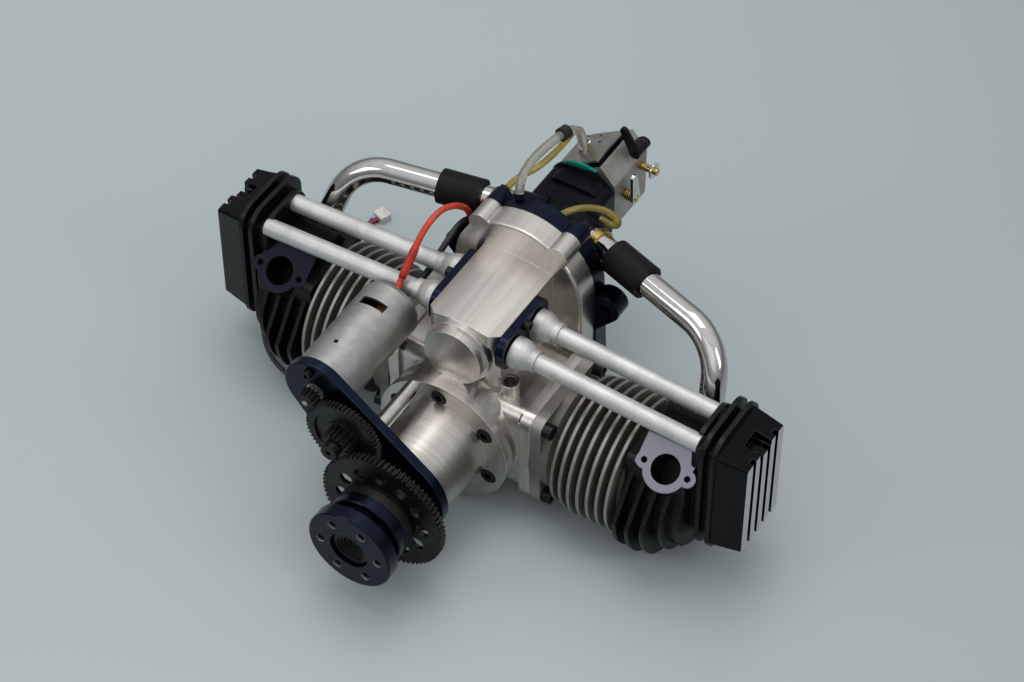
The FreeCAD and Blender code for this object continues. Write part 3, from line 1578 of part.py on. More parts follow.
node("carb_gasket", cut(
    common(
        cylinder("gasketRadius", "gasketThickness", (0, "manifoldRear", "throatHeight")),
        box("2 * manifoldHalf", "gasketThickness", "2 * gasketRadius",
            ("-manifoldHalf", "manifoldRear", "throatHeight - gasketRadius")),
    ),
    cylinder("throatRadius", "gasketThickness + 2", (0, "manifoldRear - 1", "throatHeight")),
))
chokeLug = shaped(link((size("chokeX") - size("chokeLugInset"), size("chokeZ") - size("chokeLugDrop"),
                        size("chokeLugRadius")),
                       (size("chokeX"), size("chokeZ"), size("chokeBarrel")),
                       size("chokeFront") + size("chokeLength") + size("sideGap"),
                       size("chokeLugThickness")), "ChokeLug")
carbBlock = padded("XZ_Plane", [
    ("-carbLeft", "carbLow"),
    ("carbRight", "carbLow"),
    ("carbRight", "carbShoulder"),
    ("lidX + lidDropX", "lidZ - lidDropZ"),
    ("lidLeftX + lidDropX", "lidLeftZ - lidDropZ"),
], "carbLength", "-carbRear")
node("carb_body", cut(
    fuse(
        carbBlock,
        chokeLug,
        cylinder("chokePin", "chokeLength + chokeLugThickness", ("chokeX", "chokeFront + sideGap", "chokeZ")),
    ),
    cylinder("throatRadius", "carbLength + 2", (0, "carbFront - 1", "throatHeight")),
    cylinder("throttleRadius + runningGap", "carbLeft + carbRight + 2", ("-carbLeft - 1", "throttleY", "throatHeight"),
             "X"),
    cylinder("needleRadius + pressGap", "needleDepth + 1", ("carbRight - needleDepth", "needleY", "needleZ"), "X"),
))
lid = padded("XZ_Plane", [
    ("lidX", "lidZ"),
    ("lidLeftX", "lidLeftZ"),
    ("lidLeftX + lidDropX", "lidLeftZ - lidDropZ"),
    ("lidX + lidDropX", "lidZ - lidDropZ"),
], "lidLength", "-carbFront - lidLength")
node("carb_cover", cut(
    fuse(
        lid,
        nipple("breather_hose", -1),
        nipple("fuel_tube", -1),
    ),
    carbBlock,
))

disc = cylinder("throatRadius - butterflyGap", "butterflyThickness",
                (0, "throttleY - butterflyThickness / 2", "throatHeight"))
leverPlate = shaped(link((0, 0, size("leverRadius")), (-size("leverLength"), 0, size("leverTip")), 0,
                         size("leverThickness")), "LeverPlate")
lever = place(leverPlate, ("throttleEnd - leverThickness", "throttleY", "throatHeight"),
              FreeCAD.Rotation(Vector(0, 0, 1), -90).multiply(FreeCAD.Rotation(Vector(0, 1, 0), 98)))
node("throttle_shaft", fuse(
    cylinder("throttleRadius", "carbLeft + throttleEnd + 0.8", ("-carbLeft - 0.4", "throttleY", "throatHeight"), "X"),
    disc,
    lever,
))
springRoom = size("throttleEnd") - size("leverThickness") - size("carbRight") - 2 * size("springWire") - 0.6
springPoints = []
for step in range(int(size("springCoils") * size("springSides")) + 1):
    turn = 2 * math.pi * step / size("springSides")
    springPoints.append((size("springRadius") * math.cos(turn), size("springRadius") * math.sin(turn),
                         springRoom * step / (size("springCoils") * size("springSides"))))
springWire, springBends = route(springPoints)
node("throttle_spring", place(shaped(swept(springWire, size("springWire")), "Spring"), ("carbRight + springWire + 0.3", "throttleY", "throatHeight"),
                              turns["X"]))

chokeArm = shaped(link((size("chokeX"), size("chokeZ"), size("chokeArmRoot")),
                       (size("chokeArmX"), size("chokeArmZ"), size("chokeArmTip")),
                       size("chokeFront"), size("chokeArmThickness")), "ChokeArm")
node("choke_lever", cut(
    fuse(
        cylinder("chokeBarrel", "chokeLength", ("chokeX", "chokeFront", "chokeZ")),
        chokeArm,
    ),
    cylinder("chokePin + runningGap", "chokeLength + 2", ("chokeX", "chokeFront - 1", "chokeZ")),
))
node("idle_screw", fuse(
    cylinder("needleRadius", "needleReach + needleDepth", ("carbRight - needleDepth", "needleY", "needleZ"), "X"),
    cylinder("needleWasher", "needleWasherThickness", ("needleWasherX", "needleY", "needleZ"), "X"),
))

# hoses and leads

cord("breather_hose")
cord("fuel_tube")
cord("fuel_loop")
cord("motor_lead_red")
cord("motor_lead_black")
cord("sensor_cable")
node("hose_clamp", shaped(rodBetween(Vector(-12.35, 226.6, 102.85), Vector(-11.55, 231.8, 102.15),
                                     size("clampRadius"), size("breatherRadius") + 0.1), "Clamp"))
node("lead_connector", fuse(
    box("2 * connectorX", "connectorY", "2 * connectorZ", ("-40 - connectorX", 202.5, "50.5 - connectorZ")),
    nipple("motor_lead_red", -1),
    nipple("motor_lead_black", -1),
))
plugAt = Vector(*routes["sensor_cable"][-1])
plugTurnZ = FreeCAD.Rotation(Vector(0, 0, 1), -22)
plugBox = box("plugWidth", "plugLength", "plugHeight")
plugBox.Placement = FreeCAD.Placement(
    plugAt.add(plugTurnZ.multVec(Vector(-size("plugWidth") / 2, size("runningGap"), -size("cableRadius")))),
    plugTurnZ)
node("sensor_plug", plugBox)

doc.recompute()
for item in doc.Objects:
    if "Invalid" in item.State or "Error" in item.State:
        raise RuntimeError("failed: %s (%s) %s" % (item.Name, item.Label, item.State))
os.makedirs("parts", exist_ok=True)
for label, item in nodes.items():
    shape = item.Shape
    if shape.isNull() or not shape.isValid():
        raise RuntimeError("bad shape: " + label)
    shape.exportStep("parts/%s.step" % label)
    extent = shape.BoundBox
    print("%-20s solids %2d volume %10.1f  X %7.1f %7.1f  Y %7.1f %7.1f  Z %7.1f %7.1f" % (
        label, len(shape.Solids), shape.Volume, extent.XMin, extent.XMax, extent.YMin, extent.YMax, extent.ZMin,
        extent.ZMax))
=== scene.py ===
import bpy
from math import cos, pi, radians, sin
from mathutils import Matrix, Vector


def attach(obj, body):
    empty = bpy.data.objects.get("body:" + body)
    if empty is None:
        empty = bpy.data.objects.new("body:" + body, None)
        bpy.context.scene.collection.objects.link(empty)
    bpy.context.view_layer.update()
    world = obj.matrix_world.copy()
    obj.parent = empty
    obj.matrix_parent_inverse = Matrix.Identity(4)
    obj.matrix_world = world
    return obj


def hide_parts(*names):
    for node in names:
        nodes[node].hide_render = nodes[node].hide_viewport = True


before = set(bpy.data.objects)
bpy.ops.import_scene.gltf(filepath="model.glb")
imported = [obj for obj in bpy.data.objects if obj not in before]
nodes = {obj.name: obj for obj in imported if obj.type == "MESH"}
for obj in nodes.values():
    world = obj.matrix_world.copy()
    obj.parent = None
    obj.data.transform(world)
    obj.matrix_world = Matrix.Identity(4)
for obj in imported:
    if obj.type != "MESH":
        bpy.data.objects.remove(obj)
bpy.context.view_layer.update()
scene = bpy.context.scene
print("frame loaded:", len(nodes), "nodes")


# camera: a little above and to one side of the propeller end
view = {
    "target": (-0.00588, 0.16717, 0.0),
    "azimuth": 31.94,
    "elevation": 47.63,
    "distance": 1.63198,
    "lens": 105.62,
    "sensor": 36.0,
    "clip": (0.05, 20.0),
}


def makeCamera():
    a, e = radians(view["azimuth"]), radians(view["elevation"])
    away = Vector((sin(a) * cos(e), -cos(a) * cos(e), sin(e)))
    data = bpy.data.cameras.new("photoCamera")
    data.lens = view["lens"]
    data.sensor_width = view["sensor"]
    data.clip_start, data.clip_end = view["clip"]
    camera = bpy.data.objects.new("photoCamera", data)
    scene.collection.objects.link(camera)
    camera.location = Vector(view["target"]) + away * view["distance"]
    camera.rotation_euler = (-away).to_track_quat("-Z", "Y").to_euler()
    scene.camera = camera


makeCamera()
print("camera set")


# node helpers
def addNode(tree, kind, inputs=None, **settings):
    made = tree.nodes.new("ShaderNode" + kind)
    for key, value in settings.items():
        setattr(made, key, value)
    for key, value in (inputs or {}).items():
        socket = made.inputs[key]
        if isinstance(value, bpy.types.NodeSocket):
            tree.links.new(value, socket)
        else:
            socket.default_value = value
    return made


def mathOf(tree, operation, first, second=0.5):
    return addNode(tree, "Math", {0: first, 1: second}, operation=operation).outputs[0]


def dotOf(tree, first, second):
    return addNode(tree, "VectorMath", {0: first, 1: second}, operation="DOT_PRODUCT").outputs["Value"]


def partOf(tree, place, axis):
    return addNode(tree, "SeparateXYZ", {0: place}).outputs[axis]


def nearTo(tree, value, middle, reach):
    # 1 where the value is within reach of the middle
    made = addNode(tree, "Math", {0: value, 1: middle, 2: reach}, operation="COMPARE")
    return made.outputs[0]


def spread(tree, value, low, high, toLow=0.0, toHigh=1.0):
    made = addNode(tree, "MapRange", {"Value": value, "From Min": low, "From Max": high,
                                      "To Min": toLow, "To Max": toHigh})
    return made.outputs["Result"]


def mixColour(tree, factor, first, second):
    made = addNode(tree, "Mix", {0: factor}, data_type="RGBA")
    for index, value in ((6, first), (7, second)):
        if isinstance(value, bpy.types.NodeSocket):
            tree.links.new(value, made.inputs[index])
        else:
            made.inputs[index].default_value = (*value, 1.0)
    return made.outputs[2]


def placeOf(tree):
    return addNode(tree, "TexCoord").outputs["Object"]


def trueNormal(tree):
    return addNode(tree, "NewGeometry").outputs["Normal"]


def stretched(tree, place, scale):
    return addNode(tree, "VectorMath", {0: place, 1: scale}, operation="MULTIPLY").outputs[0]


def noiseOf(tree, place, scale, detail=3.0, roughness=0.55):
    values = {"Vector": place, "Scale": scale, "Detail": detail, "Roughness": roughness}
    return addNode(tree, "TexNoise", values).outputs["Fac"]


def bumpOf(tree, height, strength, distance, under=None):
    values = {"Height": height, "Strength": strength, "Distance": distance}
    if under is not None:
        values["Normal"] = under
    return addNode(tree, "Bump", values).outputs["Normal"]


def roundedNormal(tree, radius):
    return addNode(tree, "Bevel", {"Radius": radius}, samples=4).outputs[0]


# how far a rounded normal leaves the true one where a flat ends and where an edge is full
edgeRange = (0.02, 0.25)


def edgeMask(tree, rounded):
    # 1 on the edges, 0 on the flats
    drift = mathOf(tree, "SUBTRACT", 1.0, dotOf(tree, rounded, trueNormal(tree)))
    return spread(tree, drift, *edgeRange)


def farFrom(tree, place, centre, along):
    # distance from the axis through the centre
    parts = addNode(tree, "SeparateXYZ", {0: place})
    squares = []
    for name, middle in zip([n for n in "XYZ" if n != along], centre):
        off = mathOf(tree, "SUBTRACT", parts.outputs[name], middle)
        squares.append(mathOf(tree, "MULTIPLY", off, off))
    return mathOf(tree, "SQRT", mathOf(tree, "ADD", *squares))


def turningPlace(tree, place, centre, along):
    # distance from the lathe axis and along it, so noise on it makes turned rings
    far = farFrom(tree, place, centre, along)
    return addNode(tree, "CombineXYZ", {0: far, 1: partOf(tree, place, along), 2: 0.0}).outputs[0]


# most noise lies between these values
noiseRange = (0.3, 0.7)


def clouded(tree, noise, colour, share):
    # the colour, darkened to the share of it where the noise is low
    return mixColour(tree, spread(tree, noise, *noiseRange), tuple(c * share for c in colour), colour)


def between(tree, noise, limits):
    # from the first limit to the second as the noise rises
    return spread(tree, noise, *noiseRange, *limits)


def newFinish(name, colour, metallic, **sockets):
    made = bpy.data.materials.new(name)
    made.use_nodes = True
    tree = made.node_tree
    shader = tree.nodes["Principled BSDF"]
    shader.inputs["Base Color"].default_value = (*colour, 1.0)
    shader.inputs["Metallic"].default_value = metallic
    for key, value in sockets.items():
        shader.inputs[key].default_value = value
    return made, tree, shader


def wire(tree, shader, tone, rough, normal):
    # the three sockets that every finish makes its own way
    for socket, value in (("Base Color", tone), ("Roughness", rough), ("Normal", normal)):
        tree.links.new(value, shader.inputs[socket])


def dress(label, finish):
    piece = nodes[label]
    if not piece.material_slots:
        piece.data.materials.append(finish)
    for holder in piece.material_slots:
        holder.material = finish


# masks: each is 1 on one surface of a piece, found by its place in metres
flat = {"thickness": 0.0006, "facing": 0.95}


def onPlane(tree, place, direction, offset):
    # 1 on the flat that stands at the given offset along the direction and looks along it
    near = nearTo(tree, dotOf(tree, place, direction), offset, flat["thickness"])
    facing = mathOf(tree, "GREATER_THAN", dotOf(tree, trueNormal(tree), direction), flat["facing"])
    return mathOf(tree, "MULTIPLY", near, facing)


flange = {"direction": (0.0, -0.6, 0.8), "inner": 0.1062, "right": -0.03762, "left": -0.04416}


def rightFlange(tree, place):
    # the exhaust flange of the right-hand head, milled after the anodising
    outer = mathOf(tree, "GREATER_THAN", partOf(tree, place, "X"), flange["inner"])
    return mathOf(tree, "MULTIPLY", onPlane(tree, place, flange["direction"], flange["right"]), outer)


def leftFlangeDarkReflection(tree, place):
    # the same bare flange on the left-hand head, painted dark navy as a painted reflection of the dark
    # surroundings it faces
    outer = mathOf(tree, "LESS_THAN", partOf(tree, place, "X"), -flange["inner"])
    return mathOf(tree, "MULTIPLY", onPlane(tree, place, flange["direction"], flange["left"]), outer)


coverEnd = 0.1667


def coverLands(tree, place):
    # the flats between the grooves at both ends of the engine, milled bare
    return mathOf(tree, "ADD", onPlane(tree, place, (1.0, 0.0, 0.0), coverEnd),
                  onPlane(tree, place, (-1.0, 0.0, 0.0), coverEnd))


propHoles = {"circle": 0.0175, "reach": 0.0031, "depth": 0.0016, "steepness": 0.3}


def holeWalls(tree, place):
    # the insides of the six propeller holes, worn bare near the face
    ring = nearTo(tree, farFrom(tree, place, (0.0, 0.0), "Y"), propHoles["circle"], propHoles["reach"])
    slope = mathOf(tree, "ABSOLUTE", partOf(tree, trueNormal(tree), "Y"))
    side = mathOf(tree, "LESS_THAN", slope, propHoles["steepness"])
    front = mathOf(tree, "LESS_THAN", partOf(tree, place, "Y"), propHoles["depth"])
    return mathOf(tree, "MULTIPLY", mathOf(tree, "MULTIPLY", ring, side), front)


chokePin = {"centre": (0.020, 0.087), "radius": 0.0045}


def chokeMount(tree, place):
    # the lug and pin that carry the choke lever, painted black with it
    return mathOf(tree, "LESS_THAN", farFrom(tree, place, chokePin["centre"], "Y"), chokePin["radius"])


needle = {"centre": (0.259, 0.07), "radius": 0.00225, "washer": 0.027, "washerHalf": 0.0007}


def needleWasher(tree, place):
    # the plated washer near the tip of the brass mixture screw
    band = nearTo(tree, partOf(tree, place, "X"), needle["washer"], needle["washerHalf"])
    outside = mathOf(tree, "GREATER_THAN", farFrom(tree, place, needle["centre"], "X"), needle["radius"])
    return mathOf(tree, "MULTIPLY", band, outside)


throttle = {"centre": (0.243, 0.062), "tipRadius": 0.0021, "springRadius": 0.00305}


def shaftTip(tree, place):
    # the brass end of the throttle shaft, riveted through its lever
    return mathOf(tree, "LESS_THAN", farFrom(tree, place, throttle["centre"], "X"), throttle["tipRadius"])


def springGapShade(tree, place):
    # painted shade on the inner side of the throttle spring's turns, so the gaps between them look dark
    return mathOf(tree, "LESS_THAN", farFrom(tree, place, throttle["centre"], "X"), throttle["springRadius"])


# the carburettor's lid slopes down to the left from its upper corner
lid = {"corner": (0.007, 0.0, 0.090), "slope": radians(33.0), "sheet": 0.0013}


def lidGasket(tree, place):
    # the dark gasket under the lid's sheet
    up = Vector((-sin(lid["slope"]), 0.0, cos(lid["slope"])))
    gasketTop = up.dot(Vector(lid["corner"])) - lid["sheet"]
    return mathOf(tree, "LESS_THAN", dotOf(tree, place, up), gasketTop)


carbGasket = {"up": (-0.152, 0.0, 1.0), "below": 0.0815}


def gasketRim(tree, place):
    # all of the carburettor's gasket but the crescent at its top, which shows its own colour
    return mathOf(tree, "LESS_THAN", dotOf(tree, place, carbGasket["up"]), carbGasket["below"])


# metals
machined = {
    "colour": (0.66, 0.622, 0.58),
    "middle": (0.57, 0.535, 0.495),
    "darker": (0.50, 0.47, 0.435),
}

turned = {
    "fineScale": 3300,
    "broadScale": 500,
    "cloudScale": 60,
    "shades": (0.1, 0.45),
    "roughness": (0.27, 0.36),
    "edge": 0.0005,
    "bump": (0.15, 0.000008),
}


def turnedAluminium(name, centre, along):
    # fine rings around the lathe axis
    made, tree, shader = newFinish(name, machined["colour"], 1.0)
    place = placeOf(tree)
    rings = turningPlace(tree, place, centre, along)
    fine = noiseOf(tree, rings, turned["fineScale"], 2.0)
    broad = noiseOf(tree, rings, turned["broadScale"], 2.0)
    shade = mathOf(tree, "MULTIPLY", broad, noiseOf(tree, place, turned["cloudScale"]))
    tone = mixColour(tree, spread(tree, shade, *turned["shades"]), machined["darker"], machined["colour"])
    wire(tree, shader, tone, between(tree, fine, turned["roughness"]),
         bumpOf(tree, fine, *turned["bump"], roundedNormal(tree, turned["edge"])))
    return made


milled = {
    "along": (1.0, 0.04, 1.0),
    "streakScale": 2600,
    "broadScale": 320,
    "shades": (0.35, 0.68),
    "dullness": (0.35, 0.65),
    "roughness": (0.285, 0.33),
    "edge": 0.0006,
    "edgeTone": (0.93, 0.92, 0.9),
    "bump": (0.06, 0.000002),
}


def milledAluminium(name):
    # fine streaks along the cutter's path, brighter polish on the edges
    made, tree, shader = newFinish(name, machined["colour"], 1.0)
    path = stretched(tree, placeOf(tree), milled["along"])
    streak = noiseOf(tree, path, milled["streakScale"], 2.0)
    broad = noiseOf(tree, path, milled["broadScale"], 2.0)
    rounded = roundedNormal(tree, milled["edge"])
    tone = mixColour(tree, spread(tree, broad, *milled["shades"]), machined["middle"], machined["colour"])
    wire(tree, shader, mixColour(tree, edgeMask(tree, rounded), tone, milled["edgeTone"]),
         spread(tree, broad, *milled["dullness"], *milled["roughness"]),
         bumpOf(tree, streak, *milled["bump"], rounded))
    return made


blasted = {
    "metallic": 0.85,
    "grainScale": 2600,
    "grainRoughness": 0.7,
    "lumpScale": 420,
    "cloudScale": 70,
    "cloudDetail": 4.0,
    "shades": (0.32, 0.62),
    "roughness": (0.46, 0.62),
    "edge": 0.0006,
    "edgeShare": 0.35,
    "edgeTone": (0.66, 0.64, 0.61),
    "lumpBump": (0.25, 0.00018),
    "grainBump": (0.5, 0.00006),
    "finRadii": (0.027, 0.0375),
    # painted shade between the fins, darkest at the barrel
    "finShade": (0.12, 0.11, 0.096),
    "paint": (0.012, 0.012, 0.012),
}


def castAluminium(name, colour, dark, barrel=None, painted=None):
    # blasted casting: fine grain, and painted shade towards the barrel, deepest between the fins
    made, tree, shader = newFinish(name, colour, blasted["metallic"])
    place = placeOf(tree)
    grain = noiseOf(tree, place, blasted["grainScale"], roughness=blasted["grainRoughness"])
    cloud = noiseOf(tree, place, blasted["cloudScale"], blasted["cloudDetail"])
    rounded = roundedNormal(tree, blasted["edge"])
    tone = mixColour(tree, spread(tree, cloud, *blasted["shades"]), dark, colour)
    if barrel:
        # painted shade: darker near the barrel, deep between the fins, fading out towards the fin tips
        outOfFinShade = spread(tree, farFrom(tree, place, *barrel), *blasted["finRadii"])
        tone = mixColour(tree, outOfFinShade, blasted["finShade"], tone)
    if painted:
        tone = mixColour(tree, painted(tree, place), tone, blasted["paint"])
    polish = mathOf(tree, "MULTIPLY", edgeMask(tree, rounded), blasted["edgeShare"])
    under = bumpOf(tree, noiseOf(tree, place, blasted["lumpScale"]), *blasted["lumpBump"], rounded)
    wire(tree, shader, mixColour(tree, polish, tone, blasted["edgeTone"]),
         between(tree, grain, blasted["roughness"]), bumpOf(tree, grain, *blasted["grainBump"], under))
    return made


dyed = {
    "metallic": 0.95,
    "coat": 0.06,
    "coatRoughness": 0.15,
    "along": (1.0, 1.0, 0.08),
    "streakScale": 1500,
    "cloudScale": 110,
    "edge": 0.0005,
    "bump": (0.2, 0.00002),
    "bareTone": (0.60, 0.59, 0.62),
    "bareRoughness": 0.34,
}


def anodised(name, colour, deep, roughness=(0.24, 0.36), edgeTone=(0.05, 0.07, 0.16), edgeShare=0.4,
             rings=None, bare=None, bareTone=dyed["bareTone"], metallic=dyed["metallic"]):
    # dyed aluminium, paler on its edges and undyed where the bare mask says so
    coat = {"Coat Weight": dyed["coat"], "Coat Roughness": dyed["coatRoughness"]}
    made, tree, shader = newFinish(name, colour, metallic, **coat)
    place = placeOf(tree)
    path = turningPlace(tree, place, *rings) if rings else stretched(tree, place, dyed["along"])
    streak = noiseOf(tree, path, dyed["streakScale"], 2.0)
    cloud = noiseOf(tree, place, dyed["cloudScale"])
    rounded = roundedNormal(tree, dyed["edge"])
    tone = mixColour(tree, spread(tree, cloud, *noiseRange), deep, colour)
    tone = mixColour(tree, mathOf(tree, "MULTIPLY", edgeMask(tree, rounded), edgeShare), tone, edgeTone)
    rough = between(tree, streak, roughness)
    if bare:
        shown = bare(tree, place)
        if metallic < dyed["metallic"]:
            tree.links.new(spread(tree, shown, 0.0, 1.0, metallic, 1.0), shader.inputs["Metallic"])
        tone = mixColour(tree, shown, tone, bareTone)
        rough = spread(tree, shown, 0.0, 1.0, rough, dyed["bareRoughness"])
    wire(tree, shader, tone, rough, bumpOf(tree, streak, *dyed["bump"], rounded))
    return made


blacked = {
    "metallic": 0.8,
    "grainScale": 1800,
    "cloudScale": 240,
    "darkest": 0.6,
    "rubbed": (0.35, 0.65),
    "worn": (0.20, 0.19, 0.18),
    "roughness": (0.3, 0.48),
    "edge": 0.00035,
    "bump": (0.25, 0.00003),
}


def blackedSteel(name, wear, colour=(0.030, 0.029, 0.028)):
    # blacked steel, rubbed to grey on its edges
    made, tree, shader = newFinish(name, colour, blacked["metallic"])
    place = placeOf(tree)
    grain = noiseOf(tree, place, blacked["grainScale"])
    cloud = noiseOf(tree, place, blacked["cloudScale"])
    rounded = roundedNormal(tree, blacked["edge"])
    rubbed = spread(tree, cloud, *blacked["rubbed"], 0.0, wear)
    tone = mixColour(tree, mathOf(tree, "MULTIPLY", edgeMask(tree, rounded), rubbed),
                     clouded(tree, cloud, colour, blacked["darkest"]), blacked["worn"])
    wire(tree, shader, tone, between(tree, grain, blacked["roughness"]),
         bumpOf(tree, grain, *blacked["bump"], rounded))
    return made


brushed = {
    "along": (1.0, 0.05, 1.0),
    "streakScale": 2200,
    "cloudScale": 150,
    "darkest": 0.75,
    "edge": 0.0003,
    "bump": (0.2, 0.00002),
}


def brightSteel(name, colour=(0.56, 0.55, 0.54), roughness=(0.16, 0.3), along=brushed["along"],
                other=None, otherTone=(0.7, 0.69, 0.67)):
    # brushed metal, with a second tone where the other mask says so
    made, tree, shader = newFinish(name, colour, 1.0)
    place = placeOf(tree)
    streak = noiseOf(tree, stretched(tree, place, along), brushed["streakScale"], 2.0)
    tone = clouded(tree, noiseOf(tree, place, brushed["cloudScale"]), colour, brushed["darkest"])
    if other:
        tone = mixColour(tree, other(tree, place), tone, otherTone)
    wire(tree, shader, tone, between(tree, streak, roughness),
         bumpOf(tree, streak, *brushed["bump"], roundedNormal(tree, brushed["edge"])))
    return made


wound = {
    "steel": (0.42, 0.41, 0.40),
    "dark": (0.45, 0.20, 0.07),
    "bright": (0.66, 0.36, 0.15),
    "from": 0.075,
    "turnsPerMetre": 1400,
    "cloudScale": 260,
    "roughness": (0.24, 0.4),
    "bump": (0.4, 0.0002),
}


def woundCopper(name):
    # copper turns behind the bare front end of the steel shaft
    made, tree, shader = newFinish(name, wound["bright"], 1.0)
    place = placeOf(tree)
    along = partOf(tree, place, "Y")
    behind = mathOf(tree, "GREATER_THAN", along, wound["from"])
    cloud = noiseOf(tree, place, wound["cloudScale"])
    copper = mixColour(tree, spread(tree, cloud, *noiseRange), wound["dark"], wound["bright"])
    turns = mathOf(tree, "SINE", mathOf(tree, "MULTIPLY", along, wound["turnsPerMetre"] * 2 * pi))
    wire(tree, shader, mixColour(tree, behind, wound["steel"], copper),
         between(tree, cloud, wound["roughness"]),
         bumpOf(tree, mathOf(tree, "MULTIPLY", turns, behind), *wound["bump"]))
    return made


plating = {
    "colour": (0.62, 0.60, 0.58),
    "darkest": 0.86,
    "hazeScale": 260,
    "rippleScale": 38,
    "roughness": (0.03, 0.07),
    "bump": (0.08, 0.0008),
}


def plated(name):
    # polished plating with a faint ripple from the bending
    made, tree, shader = newFinish(name, plating["colour"], 1.0)
    place = placeOf(tree)
    haze = noiseOf(tree, place, plating["hazeScale"])
    wire(tree, shader, clouded(tree, haze, plating["colour"], plating["darkest"]),
         between(tree, haze, plating["roughness"]),
         bumpOf(tree, noiseOf(tree, place, plating["rippleScale"], 2.0), *plating["bump"]))
    return made


# plastics, rubber and hoses
plastic = {"cloudScale": 180, "darkest": 0.7, "bumpStrength": 0.3, "otherTone": (0.006, 0.006, 0.007)}


def moulded(name, colour, roughness=(0.45, 0.6), grainScale=1500, depth=0.00005, other=None, **sockets):
    # moulded plastic or rubber with a fine grain
    made, tree, shader = newFinish(name, colour, 0.0, **sockets)
    place = placeOf(tree)
    cloud = noiseOf(tree, place, plastic["cloudScale"])
    tone = clouded(tree, cloud, colour, plastic["darkest"])
    if other:
        tone = mixColour(tree, other(tree, place), tone, plastic["otherTone"])
    wire(tree, shader, tone, between(tree, cloud, roughness),
         bumpOf(tree, noiseOf(tree, place, grainScale), plastic["bumpStrength"], depth))
    return made


ribs = {
    "specular": 0.4,
    "perMetre": 700,
    "shades": (-0.6, 0.8),
    "darkest": 0.4,
    "cloudScale": 300,
    "roughness": (0.38, 0.55),
    "bump": (0.8, 0.0003),
}


def ribbed(name, colour):
    # rubber wound in ridges along the hose, with painted shade darkening the valleys between them
    made, tree, shader = newFinish(name, colour, 0.0, **{"Specular IOR Level": ribs["specular"]})
    place = placeOf(tree)
    around = mathOf(tree, "MULTIPLY", partOf(tree, place, "Y"), ribs["perMetre"] * 2 * pi)
    ridges = mathOf(tree, "SINE", around)
    # painted shade in the valleys between the ridges
    valleyShade = tuple(c * ribs["darkest"] for c in colour)
    tone = mixColour(tree, spread(tree, ridges, *ribs["shades"]), valleyShade, colour)
    wire(tree, shader, tone, between(tree, noiseOf(tree, place, ribs["cloudScale"]), ribs["roughness"]),
         bumpOf(tree, ridges, *ribs["bump"]))
    return made


hoseWall = {
    "IOR": 1.42,
    "cloudScale": 90,
    "darkest": 0.78,
    "roughness": (0.08, 0.2),
    "rippleScale": 500,
    "bump": (0.06, 0.0002),
}


def hoseFinish(name, colour, clear):
    # soft see-through tube, yellowed a little unevenly
    wall = {"IOR": hoseWall["IOR"], "Transmission Weight": clear}
    made, tree, shader = newFinish(name, colour, 0.0, **wall)
    place = placeOf(tree)
    cloud = noiseOf(tree, place, hoseWall["cloudScale"])
    wire(tree, shader, clouded(tree, cloud, colour, hoseWall["darkest"]),
         between(tree, cloud, hoseWall["roughness"]),
         bumpOf(tree, noiseOf(tree, place, hoseWall["rippleScale"], 2.0), *hoseWall["bump"]))
    return made


# free cords and hoses: each follows its route, in metres
routes = {
    "breatherHose": [
        (-0.0125, 0.185, 0.0944), (-0.0142, 0.1885, 0.1008), (-0.0154, 0.2, 0.103), (-0.0146, 0.212, 0.1034),
        (-0.0128, 0.224, 0.1032), (-0.0112, 0.2345, 0.1018), (-0.008, 0.241, 0.096), (-0.0072, 0.241, 0.085),
    ],
    "fuelTube": [
        (-0.0272, 0.19, 0.0804), (-0.0254, 0.198, 0.0864), (-0.018, 0.209, 0.0888),
        (-0.0148, 0.221, 0.0904), (-0.0132, 0.233, 0.0928), (-0.0134, 0.2435, 0.0934),
        (-0.0128, 0.25, 0.0875), (-0.0126, 0.2505, 0.081),
    ],
    "fuelLoop": [
        (0.0098, 0.1895, 0.0861), (0.0125, 0.196, 0.0864), (0.0195, 0.2035, 0.0855), (0.0275, 0.2085, 0.0828),
        (0.034, 0.21, 0.078), (0.033, 0.2108, 0.0718), (0.0275, 0.2124, 0.069), (0.021, 0.213, 0.0694),
    ],
    "redLead": [
        (-0.0479, 0.1215, 0.0604), (-0.047, 0.132, 0.0715), (-0.0456, 0.1425, 0.085),
        (-0.0436, 0.156, 0.0905), (-0.0408, 0.168, 0.0855), (-0.0402, 0.1775, 0.075),
        (-0.0423, 0.1835, 0.062), (-0.04, 0.193, 0.0535), (-0.038, 0.201, 0.0508),
    ],
    "blackLead": [
        (-0.0524, 0.1215, 0.0417), (-0.0515, 0.132, 0.0412), (-0.0494, 0.146, 0.043), (-0.048, 0.158, 0.0495),
        (-0.0462, 0.169, 0.0575), (-0.0462, 0.18, 0.0596), (-0.0446, 0.19, 0.0555), (-0.0424, 0.201, 0.0504),
    ],
    "sensorCable": [
        (-0.0346, 0.1, -0.02), (-0.043, 0.1004, -0.027), (-0.056, 0.1018, -0.0366), (-0.073, 0.1045, -0.0408),
        (-0.092, 0.1085, -0.04105), (-0.11, 0.11, -0.04105), (-0.128, 0.1138, -0.04105),
        (-0.144, 0.1252, -0.04105), (-0.1542, 0.1396, -0.04105), (-0.1592, 0.1596, -0.04105),
        (-0.1595, 0.1826, -0.04105), (-0.156, 0.2063, -0.04105), (-0.1487, 0.2256, -0.04105),
        (-0.1432, 0.239, -0.04105),
    ],
}

